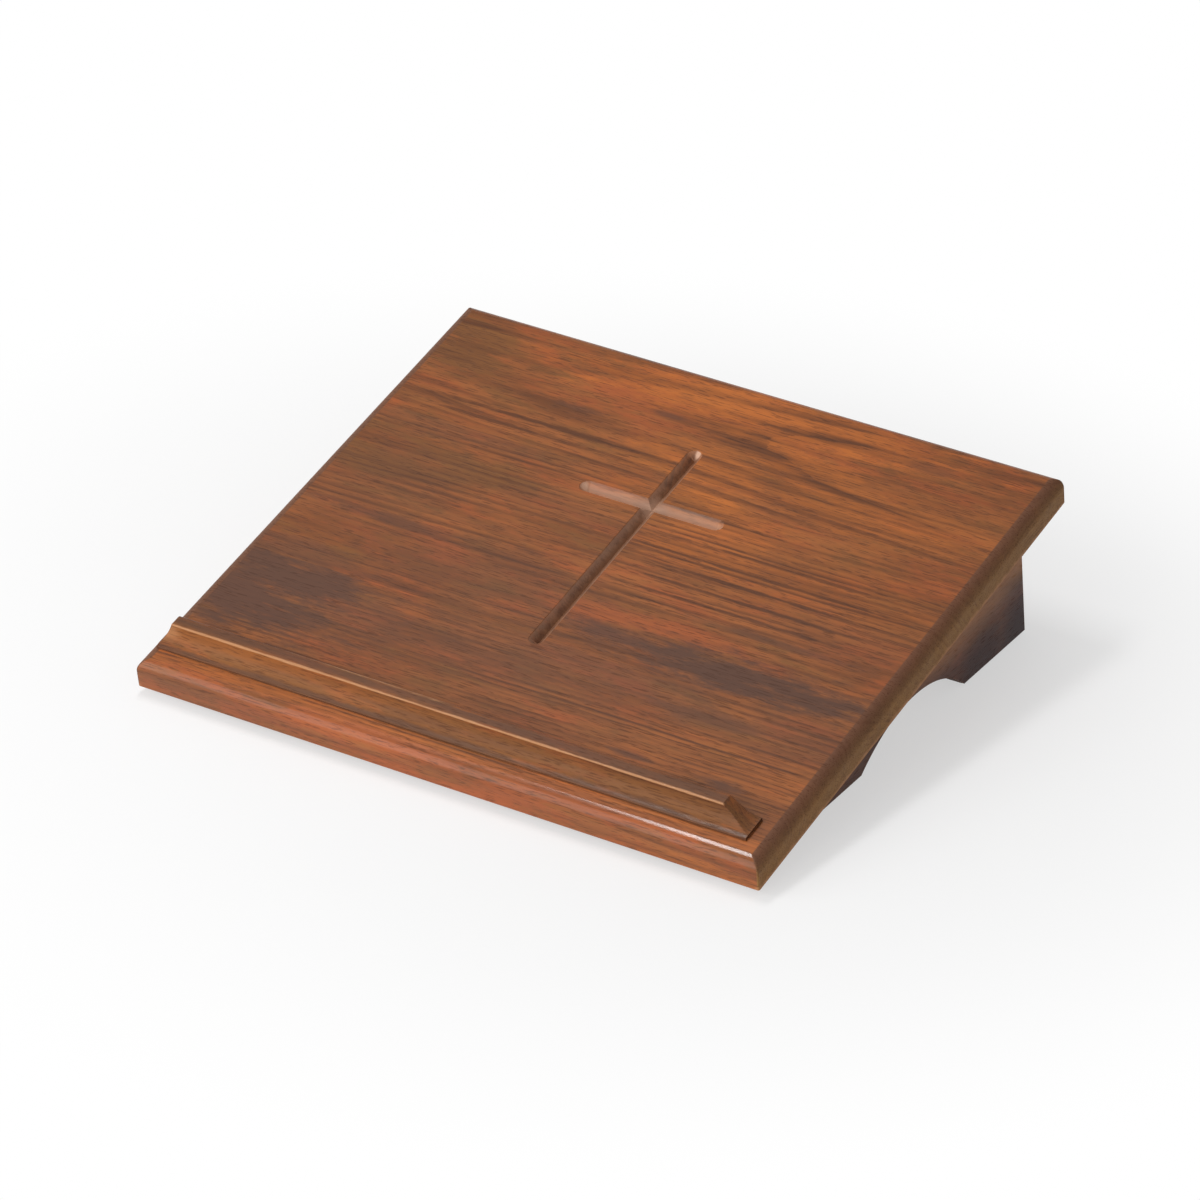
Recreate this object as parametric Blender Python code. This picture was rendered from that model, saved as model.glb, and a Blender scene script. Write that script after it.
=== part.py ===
"""A missal stand: a sloping wooden board with an engraved cross and a book ledge, on two arched legs.

Metres, +Z up. The reader stands at -Y, and the origin is on the table, under the middle of the stand.
The board has a frame of its own: x to the right, y up the slope from the lower front edge, and z
square to the board, from its underside.
"""

import math

import bmesh
import bpy
from mathutils import Matrix, Vector

# The board: three staves glued edge to edge, with rounded top edges
BOARD_WIDTH = 0.406
BOARD_DEPTH = 0.372
BOARD_THICKNESS = 0.019
BOARD_SLOPE = math.radians(12.84)
FRONT_EDGE_HEIGHT = 0.0038
FRONT_STAVE_WIDTH = 0.1175
BACK_STAVE_WIDTH = 0.107
EDGE_ROUND = 0.008
CORNER_ROUND = 0.003

# The engraved cross: V-grooves with conical ends, a little left of the middle
CROSS_OFFSET = -0.0035
CROSS_FOOT = 0.110
CROSS_HEIGHT = 0.193
CROSS_SPAN = 0.096
CROSS_ARM_DROP = 0.056
GROOVE_WIDTH = 0.010
GROOVE_DEPTH = 0.0048

# The book ledge: a strip with a toe, a hollow front, a rounded back edge and eased ends
LEDGE_LENGTH = 0.385
LEDGE_OFFSET = -0.005
LEDGE_SETBACK = 0.015
LEDGE_WIDTH = 0.019
LEDGE_HEIGHT = 0.0127
LEDGE_TOE = 0.0015
LEDGE_COVE_WIDTH = 0.009
LEDGE_BACK_ROUND = 0.003
LEDGE_LEFT_SLOPE = 0.006
LEDGE_RIGHT_SLOPE = 0.0185
LEDGE_END_RISE = 0.0015

# The legs: flat panels under the board, square to it at both ends, with an arch between the feet
LEG_THICKNESS = 0.019
LEG_INSET = 0.0143
LEG_FRONT_SETBACK = 0.0305
LEG_BACK_SETBACK = 0.0305
FRONT_FOOT_LENGTH = 0.114
BACK_FOOT_LENGTH = 0.078
ARCH_RISE = 0.023

# The felt strips under the feet
PAD_THICKNESS = 0.0015
PAD_INSET = 0.002
PAD_CORNER = 0.002

# The dowels: those between the staves lie along y, those in the legs along z
DOWEL_DIAMETER = 0.008
DOWEL_CHAMFER = 0.001
STAVE_DOWEL_LENGTH = 0.040
STAVE_DOWEL_END_INSET = 0.053
STAVE_DOWEL_FROM_MIDDLE = 0.070
LEG_DOWEL_RISE = 0.010
LEG_DOWEL_DROP = 0.012
LEG_DOWEL_END_INSET = 0.045

# The leg screws: round heads at the bottom of counterbores, driven straight up through the feet
LEG_SCREW_DIAMETER = 0.0042
LEG_SCREW_HEAD_DIAMETER = 0.009
LEG_SCREW_HEAD_HEIGHT = 0.003
LEG_SCREW_GRIP = 0.015
LEG_SCREW_BITE = 0.013
FRONT_SCREW_FROM_END = 0.069

# The ledge screws: countersunk in the underside of the board
LEDGE_SCREW_COUNT = 4
LEDGE_SCREW_DIAMETER = 0.0035
LEDGE_SCREW_HEAD_DIAMETER = 0.007
LEDGE_SCREW_HEAD_HEIGHT = 0.0022
LEDGE_SCREW_RECESS = 0.0005
LEDGE_SCREW_BITE = 0.007
LEDGE_SCREW_END_INSET = 0.045
LEDGE_SCREW_FROM_BACK = 0.0075

SCREW_POINT = 0.004
SEAT_GAP = 0.0003
CUTTER_OVERSHOOT = 0.001

# Facets
ROUND_SIDES = 12
EDGE_STEPS = 6
CORNER_STEPS = 3
COVE_STEPS = 6
LEDGE_BACK_STEPS = 3
LEDGE_END_STEPS = 6
ARCH_STEPS = 14
SHARP_ANGLE = math.radians(40)

# Finishes: base colour, roughness, metallic
STAINED_BOARD = ((0.270, 0.112, 0.052), 0.38, 0.0)
STAINED_LEDGE = ((0.250, 0.105, 0.050), 0.38, 0.0)
STAINED_LEG = ((0.160, 0.070, 0.040), 0.45, 0.0)
BARE_BEECH = ((0.560, 0.380, 0.230), 0.70, 0.0)
ZINC_STEEL = ((0.620, 0.610, 0.580), 0.35, 1.0)
BROWN_FELT = ((0.090, 0.050, 0.030), 0.95, 0.0)

# Where the board stands
straight_edge = BOARD_THICKNESS - EDGE_ROUND
front_reach = straight_edge * math.sin(BOARD_SLOPE) + EDGE_ROUND * (1 - math.cos(BOARD_SLOPE))
back_reach = BOARD_DEPTH * math.cos(BOARD_SLOPE)
middle_y = (back_reach - front_reach) / 2
board_to_world = (
    Matrix.Translation((0, -middle_y, FRONT_EDGE_HEIGHT)) @ Matrix.Rotation(BOARD_SLOPE, 4, "X")
)

# Where the pieces meet
first_joint_y = FRONT_STAVE_WIDTH
second_joint_y = BOARD_DEPTH - BACK_STAVE_WIDTH
leg_x = BOARD_WIDTH / 2 - LEG_INSET - LEG_THICKNESS / 2
leg_front_y = LEG_FRONT_SETBACK
leg_back_y = BOARD_DEPTH - LEG_BACK_SETBACK
foot_z = PAD_THICKNESS + SEAT_GAP


def underside_height(world_y):
    """Height of the board's underside above the table."""
    return FRONT_EDGE_HEIGHT + (world_y + middle_y) * math.tan(BOARD_SLOPE)


def foot_end(board_y):
    """World y where a leg's end, square to the board at board_y, comes down to its foot."""
    top = board_to_world @ Vector((0, board_y, 0))
    return top.y + (top.z - foot_z) * math.tan(BOARD_SLOPE)


foot_front_y = foot_end(leg_front_y)
foot_back_y = foot_end(leg_back_y)
arch_front_y = foot_front_y + FRONT_FOOT_LENGTH
arch_back_y = foot_back_y - BACK_FOOT_LENGTH


def clear_scene():
    for item in list(bpy.data.objects):
        bpy.data.objects.remove(item, do_unlink=True)


def finished_mesh(name, bm):
    """Turn a bmesh into a mesh with its faces pointing out and its round faces smooth."""
    bmesh.ops.recalc_face_normals(bm, faces=bm.faces)
    mesh = bpy.data.meshes.new(name)
    bm.to_mesh(mesh)
    bm.free()
    mesh.shade_smooth()
    mesh.set_sharp_from_angle(angle=SHARP_ANGLE)
    return mesh


def finish_material(name, finish):
    colour, roughness, metallic = finish
    material = bpy.data.materials.new(name)
    material.use_nodes = True
    shader = material.node_tree.nodes["Principled BSDF"]
    shader.inputs["Base Color"].default_value = (*colour, 1.0)
    shader.inputs["Roughness"].default_value = roughness
    shader.inputs["Metallic"].default_value = metallic
    return material


def add_piece(name, mesh, finish, parent=None, location=(0, 0, 0), rotation=(0, 0, 0)):
    """Add one piece of the stand, with a material of its own."""
    piece = bpy.data.objects.new(name, mesh)
    bpy.context.scene.collection.objects.link(piece)
    piece.parent = parent
    piece.location = location
    piece.rotation_euler = rotation
    if not mesh.materials:
        mesh.materials.append(None)
    slot = piece.material_slots[0]
    slot.link = "OBJECT"
    slot.material = finish_material(name + "_finish", finish)
    return piece


def add_cutter(name, bm, parent=None):
    """Add a guide that only cuts other pieces."""
    cutter = bpy.data.objects.new(name, finished_mesh(name, bm))
    bpy.context.scene.collection.objects.link(cutter)
    cutter.parent = parent
    cutter.hide_render = True
    cutter.display_type = "WIRE"
    return cutter


def cut(piece, *cutters):
    for cutter in cutters:
        boolean = piece.modifiers.new(cutter.name, "BOOLEAN")
        boolean.operation = "DIFFERENCE"
        boolean.solver = "EXACT"
        boolean.object = cutter


def bridge_rings(bm, rings):
    """Join closed rings of equal count with quads, and close the first and last with a face."""
    for lower, upper in zip(rings, rings[1:]):
        for i in range(len(lower)):
            j = (i + 1) % len(lower)
            bm.faces.new((lower[i], lower[j], upper[j], upper[i]))
    bm.faces.new(tuple(reversed(rings[0])))
    bm.faces.new(rings[-1])


def add_turned(bm, profile, place=Matrix()):
    """Add a solid turned about z from (radius, z) points, ending in a face or, at radius 0, a point."""
    rings = []
    for radius, z in profile:
        if radius == 0:
            continue
        angles = [2 * math.pi * i / ROUND_SIDES for i in range(ROUND_SIDES)]
        points = [Vector((radius * math.cos(a), radius * math.sin(a), z)) for a in angles]
        rings.append([bm.verts.new(place @ point) for point in points])
    bridge_rings(bm, rings)
    end_radius, end_z = profile[-1]
    if end_radius == 0:
        end_face = bm.faces.get(rings[-1])
        bmesh.ops.poke(bm, faces=[end_face])["verts"][0].co = place @ Vector((0, 0, end_z))


def plan_outline(width, depth, corner, inset=0.0):
    """A rectangle with rounded corners, drawn in all round; past their radius the corners are sharp."""
    radius = max(corner - inset, 0.0)
    right = width / 2 - inset - radius
    near = inset + radius
    far = depth - inset - radius
    corners = ((right, near), (right, far), (-right, far), (-right, near))
    points = []
    for quarter, (x, y) in enumerate(corners):
        for step in range(CORNER_STEPS + 1):
            angle = (quarter - 1 + step / CORNER_STEPS) * math.pi / 2
            points.append((x + radius * math.cos(angle), y + radius * math.sin(angle)))
    return points


def board_slab():
    """The whole board, with its top edges rounded over."""
    levels = [(0.0, 0.0)]
    for step in range(EDGE_STEPS + 1):
        angle = step / EDGE_STEPS * math.pi / 2
        inset = EDGE_ROUND * (1 - math.cos(angle))
        levels.append((inset, BOARD_THICKNESS - EDGE_ROUND * (1 - math.sin(angle))))
    bm = bmesh.new()
    rings = []
    for inset, z in levels:
        outline = plan_outline(BOARD_WIDTH, BOARD_DEPTH, CORNER_ROUND, inset)
        rings.append([bm.verts.new((x, y, z)) for x, y in outline])
    bridge_rings(bm, rings)
    bmesh.ops.remove_doubles(bm, verts=bm.verts, dist=1e-7)
    return bm


def saw_off(bm, y, side):
    """Saw a slab across at y, drop what lies on that side (+1 up the slope) and close the sawn edge."""
    everything = bm.verts[:] + bm.edges[:] + bm.faces[:]
    sawn = bmesh.ops.bisect_plane(
        bm, geom=everything, plane_co=(0, y, 0), plane_no=(0, side, 0), clear_outer=True
    )
    edges = [item for item in sawn["geom_cut"] if isinstance(item, bmesh.types.BMEdge)]
    bmesh.ops.contextual_create(bm, geom=edges)


def add_staves(board):
    front = board_slab()
    saw_off(front, first_joint_y - SEAT_GAP / 2, 1)
    middle = board_slab()
    saw_off(middle, first_joint_y + SEAT_GAP / 2, -1)
    saw_off(middle, second_joint_y - SEAT_GAP / 2, 1)
    back = board_slab()
    saw_off(back, second_joint_y + SEAT_GAP / 2, -1)
    names = ("board_front_stave", "board_middle_stave", "board_back_stave")
    return [
        add_piece(name, finished_mesh(name, bm), STAINED_BOARD, board)
        for name, bm in zip(names, (front, middle, back))
    ]


def groove_cutter(name, start, end, board):
    """A V-groove in the board's top from start to end (x, y), with conical ends on those points."""
    run = (Vector(end) - Vector(start)).normalized()
    root_inset = GROOVE_WIDTH / 2
    roots = (Vector(start) + run * root_inset, Vector(end) - run * root_inset)
    top_radius = root_inset * (1 + CUTTER_OVERSHOOT / GROOVE_DEPTH)
    heading = math.atan2(run.y, run.x)
    bm = bmesh.new()
    rim = []
    root_of = []
    for root, turn in zip(roots, (math.pi / 2, -math.pi / 2)):
        tip = bm.verts.new((root.x, root.y, BOARD_THICKNESS - GROOVE_DEPTH))
        for step in range(ROUND_SIDES // 2 + 1):
            angle = heading + turn + step / (ROUND_SIDES // 2) * math.pi
            x = root.x + top_radius * math.cos(angle)
            y = root.y + top_radius * math.sin(angle)
            rim.append(bm.verts.new((x, y, BOARD_THICKNESS + CUTTER_OVERSHOOT)))
            root_of.append(tip)
    for i in range(len(rim)):
        j = (i + 1) % len(rim)
        corners = [rim[i], rim[j], root_of[j]]
        if root_of[i] is not root_of[j]:
            corners.append(root_of[i])
        bm.faces.new(corners)
    bm.faces.new(rim)
    return add_cutter(name, bm, board)


def cut_cross(staves, board):
    top_y = CROSS_FOOT + CROSS_HEIGHT
    arm_y = top_y - CROSS_ARM_DROP
    left_x = CROSS_OFFSET - CROSS_SPAN / 2
    right_x = CROSS_OFFSET + CROSS_SPAN / 2
    upright = groove_cutter("upright_groove", (CROSS_OFFSET, CROSS_FOOT), (CROSS_OFFSET, top_y), board)
    arms = groove_cutter("arm_groove", (left_x, arm_y), (right_x, arm_y), board)
    for stave in staves:
        cut(stave, upright, arms)


def ledge_section(height):
    """The ledge's outline (y, z) where its top is at height: toe, cove, top and rounded back edge."""
    cove_depth = LEDGE_HEIGHT - LEDGE_TOE
    reach = math.acos((LEDGE_HEIGHT - height) / cove_depth)
    points = [(0.0, 0.0), (0.0, LEDGE_TOE)]
    for step in range(1, COVE_STEPS + 1):
        angle = reach * step / COVE_STEPS
        points.append((LEDGE_COVE_WIDTH * math.sin(angle), LEDGE_HEIGHT - cove_depth * math.cos(angle)))
    for step in range(LEDGE_BACK_STEPS + 1):
        angle = step / LEDGE_BACK_STEPS * math.pi / 2
        y = LEDGE_WIDTH - LEDGE_BACK_ROUND * (1 - math.sin(angle))
        points.append((y, height - LEDGE_BACK_ROUND * (1 - math.cos(angle))))
    points.append((LEDGE_WIDTH, 0.0))
    return points


def ledge_stations():
    """Places along x, from the right end to the left, with the ledge's height there."""
    end_height = LEDGE_TOE + LEDGE_END_RISE
    ends = []
    for side, slope in ((1, LEDGE_RIGHT_SLOPE), (-1, LEDGE_LEFT_SLOPE)):
        stations = []
        for step in range(LEDGE_END_STEPS + 1):
            along = step / LEDGE_END_STEPS
            ease = (1 - math.cos(math.pi * along)) / 2
            x = LEDGE_OFFSET + side * (LEDGE_LENGTH / 2 - slope * along)
            stations.append((x, end_height + (LEDGE_HEIGHT - end_height) * ease))
        ends.append(stations)
    right, left = ends
    return right + left[::-1]


def add_ledge(board):
    """Loft the ledge along x; towards each end its top curves down to just over the toe."""
    base_z = BOARD_THICKNESS + SEAT_GAP
    bm = bmesh.new()
    rings = []
    for x, height in ledge_stations():
        section = ledge_section(height)
        rings.append([bm.verts.new((x, LEDGE_SETBACK + y, base_z + z)) for y, z in section])
    bridge_rings(bm, rings)
    return add_piece("book_ledge", finished_mesh("book_ledge", bm), STAINED_LEDGE, board)


def leg_outline():
    """The leg's outline (y, z): top edge, back end, back foot, arch, front foot, front end."""
    top_front = board_to_world @ Vector((0, leg_front_y, -SEAT_GAP))
    top_back = board_to_world @ Vector((0, leg_back_y, -SEAT_GAP))
    points = [(top_front.y, top_front.z), (top_back.y, top_back.z), (foot_back_y, foot_z)]
    half_span = (arch_back_y - arch_front_y) / 2
    arch_radius = (half_span**2 + ARCH_RISE**2) / (2 * ARCH_RISE)
    half_turn = math.asin(half_span / arch_radius)
    arch_middle_y = (arch_front_y + arch_back_y) / 2
    arch_centre_z = foot_z + ARCH_RISE - arch_radius
    for step in range(ARCH_STEPS + 1):
        angle = half_turn * (1 - 2 * step / ARCH_STEPS)
        y = arch_middle_y + arch_radius * math.sin(angle)
        points.append((y, arch_centre_z + arch_radius * math.cos(angle)))
    points.append((foot_front_y, foot_z))
    return points


def leg_mesh():
    bm = bmesh.new()
    rings = []
    for x in (-LEG_THICKNESS / 2, LEG_THICKNESS / 2):
        rings.append([bm.verts.new((x, y, z)) for y, z in leg_outline()])
    bridge_rings(bm, rings)
    return finished_mesh("leg", bm)


def pad_mesh(name, front_y, back_y):
    """A felt strip, drawn in from the edges of the foot it lies under."""
    length = back_y - front_y - 2 * PAD_INSET
    outline = plan_outline(LEG_THICKNESS - 2 * PAD_INSET, length, PAD_CORNER)
    bm = bmesh.new()
    rings = []
    for z in (0.0, PAD_THICKNESS):
        rings.append([bm.verts.new((x, front_y + PAD_INSET + y, z)) for x, y in outline])
    bridge_rings(bm, rings)
    return finished_mesh(name, bm)


def dowel_profile(bottom, top):
    radius = DOWEL_DIAMETER / 2
    end_radius = radius - DOWEL_CHAMFER
    return [
        (end_radius, bottom),
        (radius, bottom + DOWEL_CHAMFER),
        (radius, top - DOWEL_CHAMFER),
        (end_radius, top),
    ]


def dowel_bore(bottom, top):
    radius = DOWEL_DIAMETER / 2 + SEAT_GAP
    return [(radius, bottom - SEAT_GAP), (radius, top + SEAT_GAP)]


def turned_mesh(name, profile):
    bm = bmesh.new()
    add_turned(bm, profile)
    return finished_mesh(name, bm)


def add_stave_dowels(board, bores):
    half = STAVE_DOWEL_LENGTH / 2
    mesh = turned_mesh("stave_dowel", dowel_profile(-half, half))
    outer_x = BOARD_WIDTH / 2 - STAVE_DOWEL_END_INSET
    places = (-outer_x, -STAVE_DOWEL_FROM_MIDDLE, STAVE_DOWEL_FROM_MIDDLE, outer_x)
    lying = (-math.pi / 2, 0, 0)
    for joint, y in (("front", first_joint_y), ("back", second_joint_y)):
        for number, x in enumerate(places, start=1):
            at = Vector((x, y, BOARD_THICKNESS / 2))
            add_piece(f"{joint}_joint_dowel_{number}", mesh, BARE_BEECH, board, at, lying)
            place = board_to_world @ Matrix.Translation(at) @ Matrix.Rotation(lying[0], 4, "X")
            add_turned(bores, dowel_bore(-half, half), place)


def add_leg_dowels(board, bores, side, x):
    mesh = turned_mesh("leg_dowel", dowel_profile(-LEG_DOWEL_DROP, LEG_DOWEL_RISE))
    front_y = leg_front_y + LEG_DOWEL_END_INSET
    back_y = leg_back_y - LEG_DOWEL_END_INSET
    for end, y in (("front", front_y), ("back", back_y)):
        add_piece(f"{side}_leg_{end}_dowel", mesh, BARE_BEECH, board, (x, y, 0))
        place = board_to_world @ Matrix.Translation((x, y, 0))
        add_turned(bores, dowel_bore(-LEG_DOWEL_DROP, LEG_DOWEL_RISE), place)


def add_leg_screws(bores, side, x):
    """Each screw has its head at z 0 and points up; its bore runs on down through the foot."""
    head = LEG_SCREW_HEAD_DIAMETER / 2
    shank = LEG_SCREW_DIAMETER / 2
    seat = LEG_SCREW_HEAD_HEIGHT
    tip = seat + LEG_SCREW_GRIP + LEG_SCREW_BITE
    neck = tip - SCREW_POINT
    mesh = turned_mesh("leg_screw", [(head, 0), (head, seat), (shank, seat), (shank, neck), (0, tip)])
    front_y = foot_front_y + FRONT_SCREW_FROM_END
    back_y = foot_back_y - BACK_FOOT_LENGTH / 2
    for end, y in (("front", front_y), ("back", back_y)):
        z = underside_height(y) - LEG_SCREW_GRIP - seat
        add_piece(f"{side}_leg_{end}_screw", mesh, ZINC_STEEL, None, (x, y, z))
        bore = [
            (head + SEAT_GAP, foot_z - z - CUTTER_OVERSHOOT),
            (head + SEAT_GAP, seat + SEAT_GAP),
            (shank + SEAT_GAP, seat + SEAT_GAP),
            (shank + SEAT_GAP, neck),
            (SEAT_GAP, tip + SEAT_GAP),
        ]
        add_turned(bores, bore, Matrix.Translation((x, y, z)))


def add_ledge_screws(board, bores):
    head = LEDGE_SCREW_HEAD_DIAMETER / 2
    shank = LEDGE_SCREW_DIAMETER / 2
    seat = LEDGE_SCREW_HEAD_HEIGHT
    tip = BOARD_THICKNESS - LEDGE_SCREW_RECESS + SEAT_GAP + LEDGE_SCREW_BITE
    neck = tip - SCREW_POINT
    mesh = turned_mesh("ledge_screw", [(head, 0), (shank, seat), (shank, neck), (0, tip)])
    bore = [
        (head + SEAT_GAP, -LEDGE_SCREW_RECESS - CUTTER_OVERSHOOT),
        (head + SEAT_GAP, 0),
        (shank + SEAT_GAP, seat),
        (shank + SEAT_GAP, neck),
        (SEAT_GAP, tip + SEAT_GAP),
    ]
    outer_x = LEDGE_LENGTH / 2 - LEDGE_SCREW_END_INSET
    y = LEDGE_SETBACK + LEDGE_WIDTH - LEDGE_SCREW_FROM_BACK
    for i in range(LEDGE_SCREW_COUNT):
        x = LEDGE_OFFSET + outer_x * (2 * i / (LEDGE_SCREW_COUNT - 1) - 1)
        at = Vector((x, y, LEDGE_SCREW_RECESS))
        add_piece(f"ledge_screw_{i + 1}", mesh, ZINC_STEEL, board, at)
        add_turned(bores, bore, board_to_world @ Matrix.Translation(at))


def main():
    clear_scene()
    board = bpy.data.objects.new("board", None)
    bpy.context.scene.collection.objects.link(board)
    board.matrix_world = board_to_world

    staves = add_staves(board)
    cut_cross(staves, board)
    ledge = add_ledge(board)

    bores = bmesh.new()
    add_stave_dowels(board, bores)
    add_ledge_screws(board, bores)

    leg = leg_mesh()
    pads = {
        "front": pad_mesh("front_pad", foot_front_y, arch_front_y),
        "back": pad_mesh("back_pad", arch_back_y, foot_back_y),
    }
    legs = []
    for side, x in (("left", -leg_x), ("right", leg_x)):
        legs.append(add_piece(f"{side}_leg", leg, STAINED_LEG, None, (x, 0, 0)))
        for end, pad in pads.items():
            add_piece(f"{side}_leg_{end}_pad", pad, BROWN_FELT, None, (x, 0, 0))
        add_leg_dowels(board, bores, side, x)
        add_leg_screws(bores, side, x)

    bore_cutter = add_cutter("bores", bores)
    for piece in (*staves, ledge, *legs):
        cut(piece, bore_cutter)


main()
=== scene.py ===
# %% [markdown]
# # A missal stand of stained oak
# The stand holds an open altar book: a sloping board, glued up from three staves, with a small
# ledge across its front, an engraved cross, and two arched legs under it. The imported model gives
# every piece its place. This lesson makes finer meshes for them, and finishes made from nodes.

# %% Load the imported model
import random
from math import acos, asin, atan2, cos, pi, radians, sin, tan

import bmesh
import bpy
from mathutils import Matrix, Vector, noise


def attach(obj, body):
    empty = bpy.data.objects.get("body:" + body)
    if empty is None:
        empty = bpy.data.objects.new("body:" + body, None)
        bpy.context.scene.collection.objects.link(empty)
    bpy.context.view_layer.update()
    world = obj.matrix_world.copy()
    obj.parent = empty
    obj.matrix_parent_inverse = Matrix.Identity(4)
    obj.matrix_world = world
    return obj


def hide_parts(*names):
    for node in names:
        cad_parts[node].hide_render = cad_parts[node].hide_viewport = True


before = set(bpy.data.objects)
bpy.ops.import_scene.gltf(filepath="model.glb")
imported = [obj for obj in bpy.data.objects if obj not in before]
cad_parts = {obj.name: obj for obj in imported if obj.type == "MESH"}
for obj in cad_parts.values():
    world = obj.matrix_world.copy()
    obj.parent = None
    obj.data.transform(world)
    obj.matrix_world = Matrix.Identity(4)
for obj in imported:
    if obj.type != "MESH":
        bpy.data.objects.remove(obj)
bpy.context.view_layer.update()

# %% [markdown]
# ## The board's own frame
# A joiner measures on the board, not on the table: x to the right, y up the slope from the lower
# front edge, z square to the board from its underside. One matrix takes these places to the table,
# so every piece on the board can be drawn flat and then laid on the slope.

# %% The board's frame
BOARD_WIDTH = 0.406
BOARD_DEPTH = 0.372
BOARD_THICKNESS = 0.019
BOARD_SLOPE = radians(12.84)
FRONT_EDGE_HEIGHT = 0.0038
EDGE_ROUND = 0.008

front_reach = (BOARD_THICKNESS - EDGE_ROUND) * sin(BOARD_SLOPE)
front_reach += EDGE_ROUND * (1 - cos(BOARD_SLOPE))
middle_y = (BOARD_DEPTH * cos(BOARD_SLOPE) - front_reach) / 2
front_edge = Matrix.Translation((0, -middle_y, FRONT_EDGE_HEIGHT))
on_board = front_edge @ Matrix.Rotation(BOARD_SLOPE, 4, "X")
on_table = Matrix()
print("the board's front edge lies at y =", round(on_board.translation.y, 4))

# %% [markdown]
# ## The camera
# The stand was photographed with a long lens, from the right and a little above. Long lenses
# flatten the picture, so the board's sides stay almost parallel. The camera's axes are written
# out, because it also leans a little to one side.

# %% Camera
CAMERA_AT = (1.5287, -2.7767, 1.7704)
CAMERA_RIGHT = (0.8644, 0.5013, 0.0391)
CAMERA_BACK = (0.4241, -0.7686, 0.4790)
LENS_MM = 187.5


def add_object(name, data, place):
    """Put a mesh, a lamp or a camera into the scene."""
    placed = bpy.data.objects.new(name, data)
    bpy.context.scene.collection.objects.link(placed)
    placed.matrix_world = place
    return placed


camera_back = Vector(CAMERA_BACK).normalized()
camera_up = camera_back.cross(Vector(CAMERA_RIGHT)).normalized()
camera_right = camera_up.cross(camera_back)
turned = Matrix((camera_right, camera_up, camera_back)).transposed().to_4x4()
camera = add_object("camera", bpy.data.cameras.new("camera"), Matrix.Translation(CAMERA_AT) @ turned)
camera.data.lens = LENS_MM
bpy.context.scene.camera = camera
print("camera", round(Vector(CAMERA_AT).length, 2), "m away")

# %% [markdown]
# ## Formulas instead of links
# A node tree is quicker to read as a formula than as forty lines of links. A field stands for a
# node's output: adding or multiplying fields adds Math nodes to the tree that they belong to. The
# other helpers add one node each. What goes into them is a plain number, a colour or a field.


# %% Fields
class Field:
    """A node's output, which changes over the surface. Arithmetic with it adds Math nodes."""

    def __init__(self, socket):
        self.socket = socket

    def __add__(self, other):
        return maths("ADD", self, other)

    def __sub__(self, other):
        return maths("SUBTRACT", self, other)

    def __rsub__(self, other):
        return maths("SUBTRACT", other, self)

    def __mul__(self, other):
        return maths("MULTIPLY", self, other)

    def __abs__(self):
        return maths("ABSOLUTE", self)


def fields(sockets):
    return {socket.name: Field(socket) for socket in sockets}


def put(value, socket):
    """Link a field to a socket, or set the socket to a plain value."""
    if isinstance(value, Field):
        socket.id_data.links.new(value.socket, socket)
    else:
        socket.default_value = value


def add_node(kind, values, output=0, **settings):
    """Add a node beside the fields that feed it, and give one of its outputs, or all for None.
    The values go to its inputs in their order, or by name."""
    if not isinstance(values, dict):
        values = dict(enumerate(values))
    tree = next(value.socket.id_data for value in values.values() if isinstance(value, Field))
    made = tree.nodes.new("ShaderNode" + kind)
    for setting, choice in settings.items():
        setattr(made, setting, choice)
    for key, value in values.items():
        put(value, made.inputs[key])
    return fields(made.outputs) if output is None else Field(made.outputs[output])


# %% Node helpers
MIX_SHARE, MIX_FIRST, MIX_SECOND, MIX_RESULT = 0, 6, 7, 2


def maths(operation, *values):
    return add_node("Math", values, operation=operation)


def vector_maths(operation, *vectors, output="Vector"):
    return add_node("VectorMath", vectors, output, operation=operation)


def split(vector):
    """The x, y and z of a position."""
    return add_node("SeparateXYZ", [vector], None).values()


def join(*parts):
    return add_node("CombineXYZ", parts)


def soft_step(value, low, high, at_low=0.0, at_high=1.0):
    """Ease from at_low to at_high while value goes from low to high."""
    values = (value, low, high, at_low, at_high)
    return add_node("MapRange", values, interpolation_type="SMOOTHSTEP")


def cloud(vector, scale, detail, roughness=0.5, shift=(0.0, 0.0, 0.0)):
    """Soft noise from 0 to 1; scale is the number of blobs to a metre along each axis."""
    spot = vector_maths("MULTIPLY_ADD", vector, scale, shift)
    values = {"Vector": spot, "Scale": 1.0, "Detail": detail, "Roughness": roughness}
    return add_node("TexNoise", values)


def mix_colours(share, first, second):
    values = {MIX_SHARE: share, MIX_FIRST: first, MIX_SECOND: second}
    return add_node("Mix", values, MIX_RESULT, data_type="RGBA")


def relief(height, strength, distance):
    """Fine ups and downs, as a normal for the shader."""
    return add_node("Bump", {"Height": height, "Strength": strength, "Distance": distance})


# %% Groups and materials
ORIGIN = (0.0, 0.0, 0.0)


def new_group(name, inputs, outputs):
    """A shader node group: gives it, its inputs as fields, and its output sockets."""
    group = bpy.data.node_groups.new(name, "ShaderNodeTree")
    for label, start in inputs.items():
        kind = "Float" if isinstance(start, float) else {3: "Vector", 4: "Color"}[len(start)]
        socket = group.interface.new_socket(label, in_out="INPUT", socket_type="NodeSocket" + kind)
        socket.default_value = start
    for label in outputs:
        kind = "Color" if label == "Color" else "Float"
        group.interface.new_socket(label, in_out="OUTPUT", socket_type="NodeSocket" + kind)
    given = fields(group.nodes.new("NodeGroupInput").outputs)
    print("node group", name)
    return group, given, group.nodes.new("NodeGroupOutput").inputs


def use_group(group, values):
    """Place a group in a material with its own values, and give its outputs."""
    return add_node("Group", values, None, node_tree=group)


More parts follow.
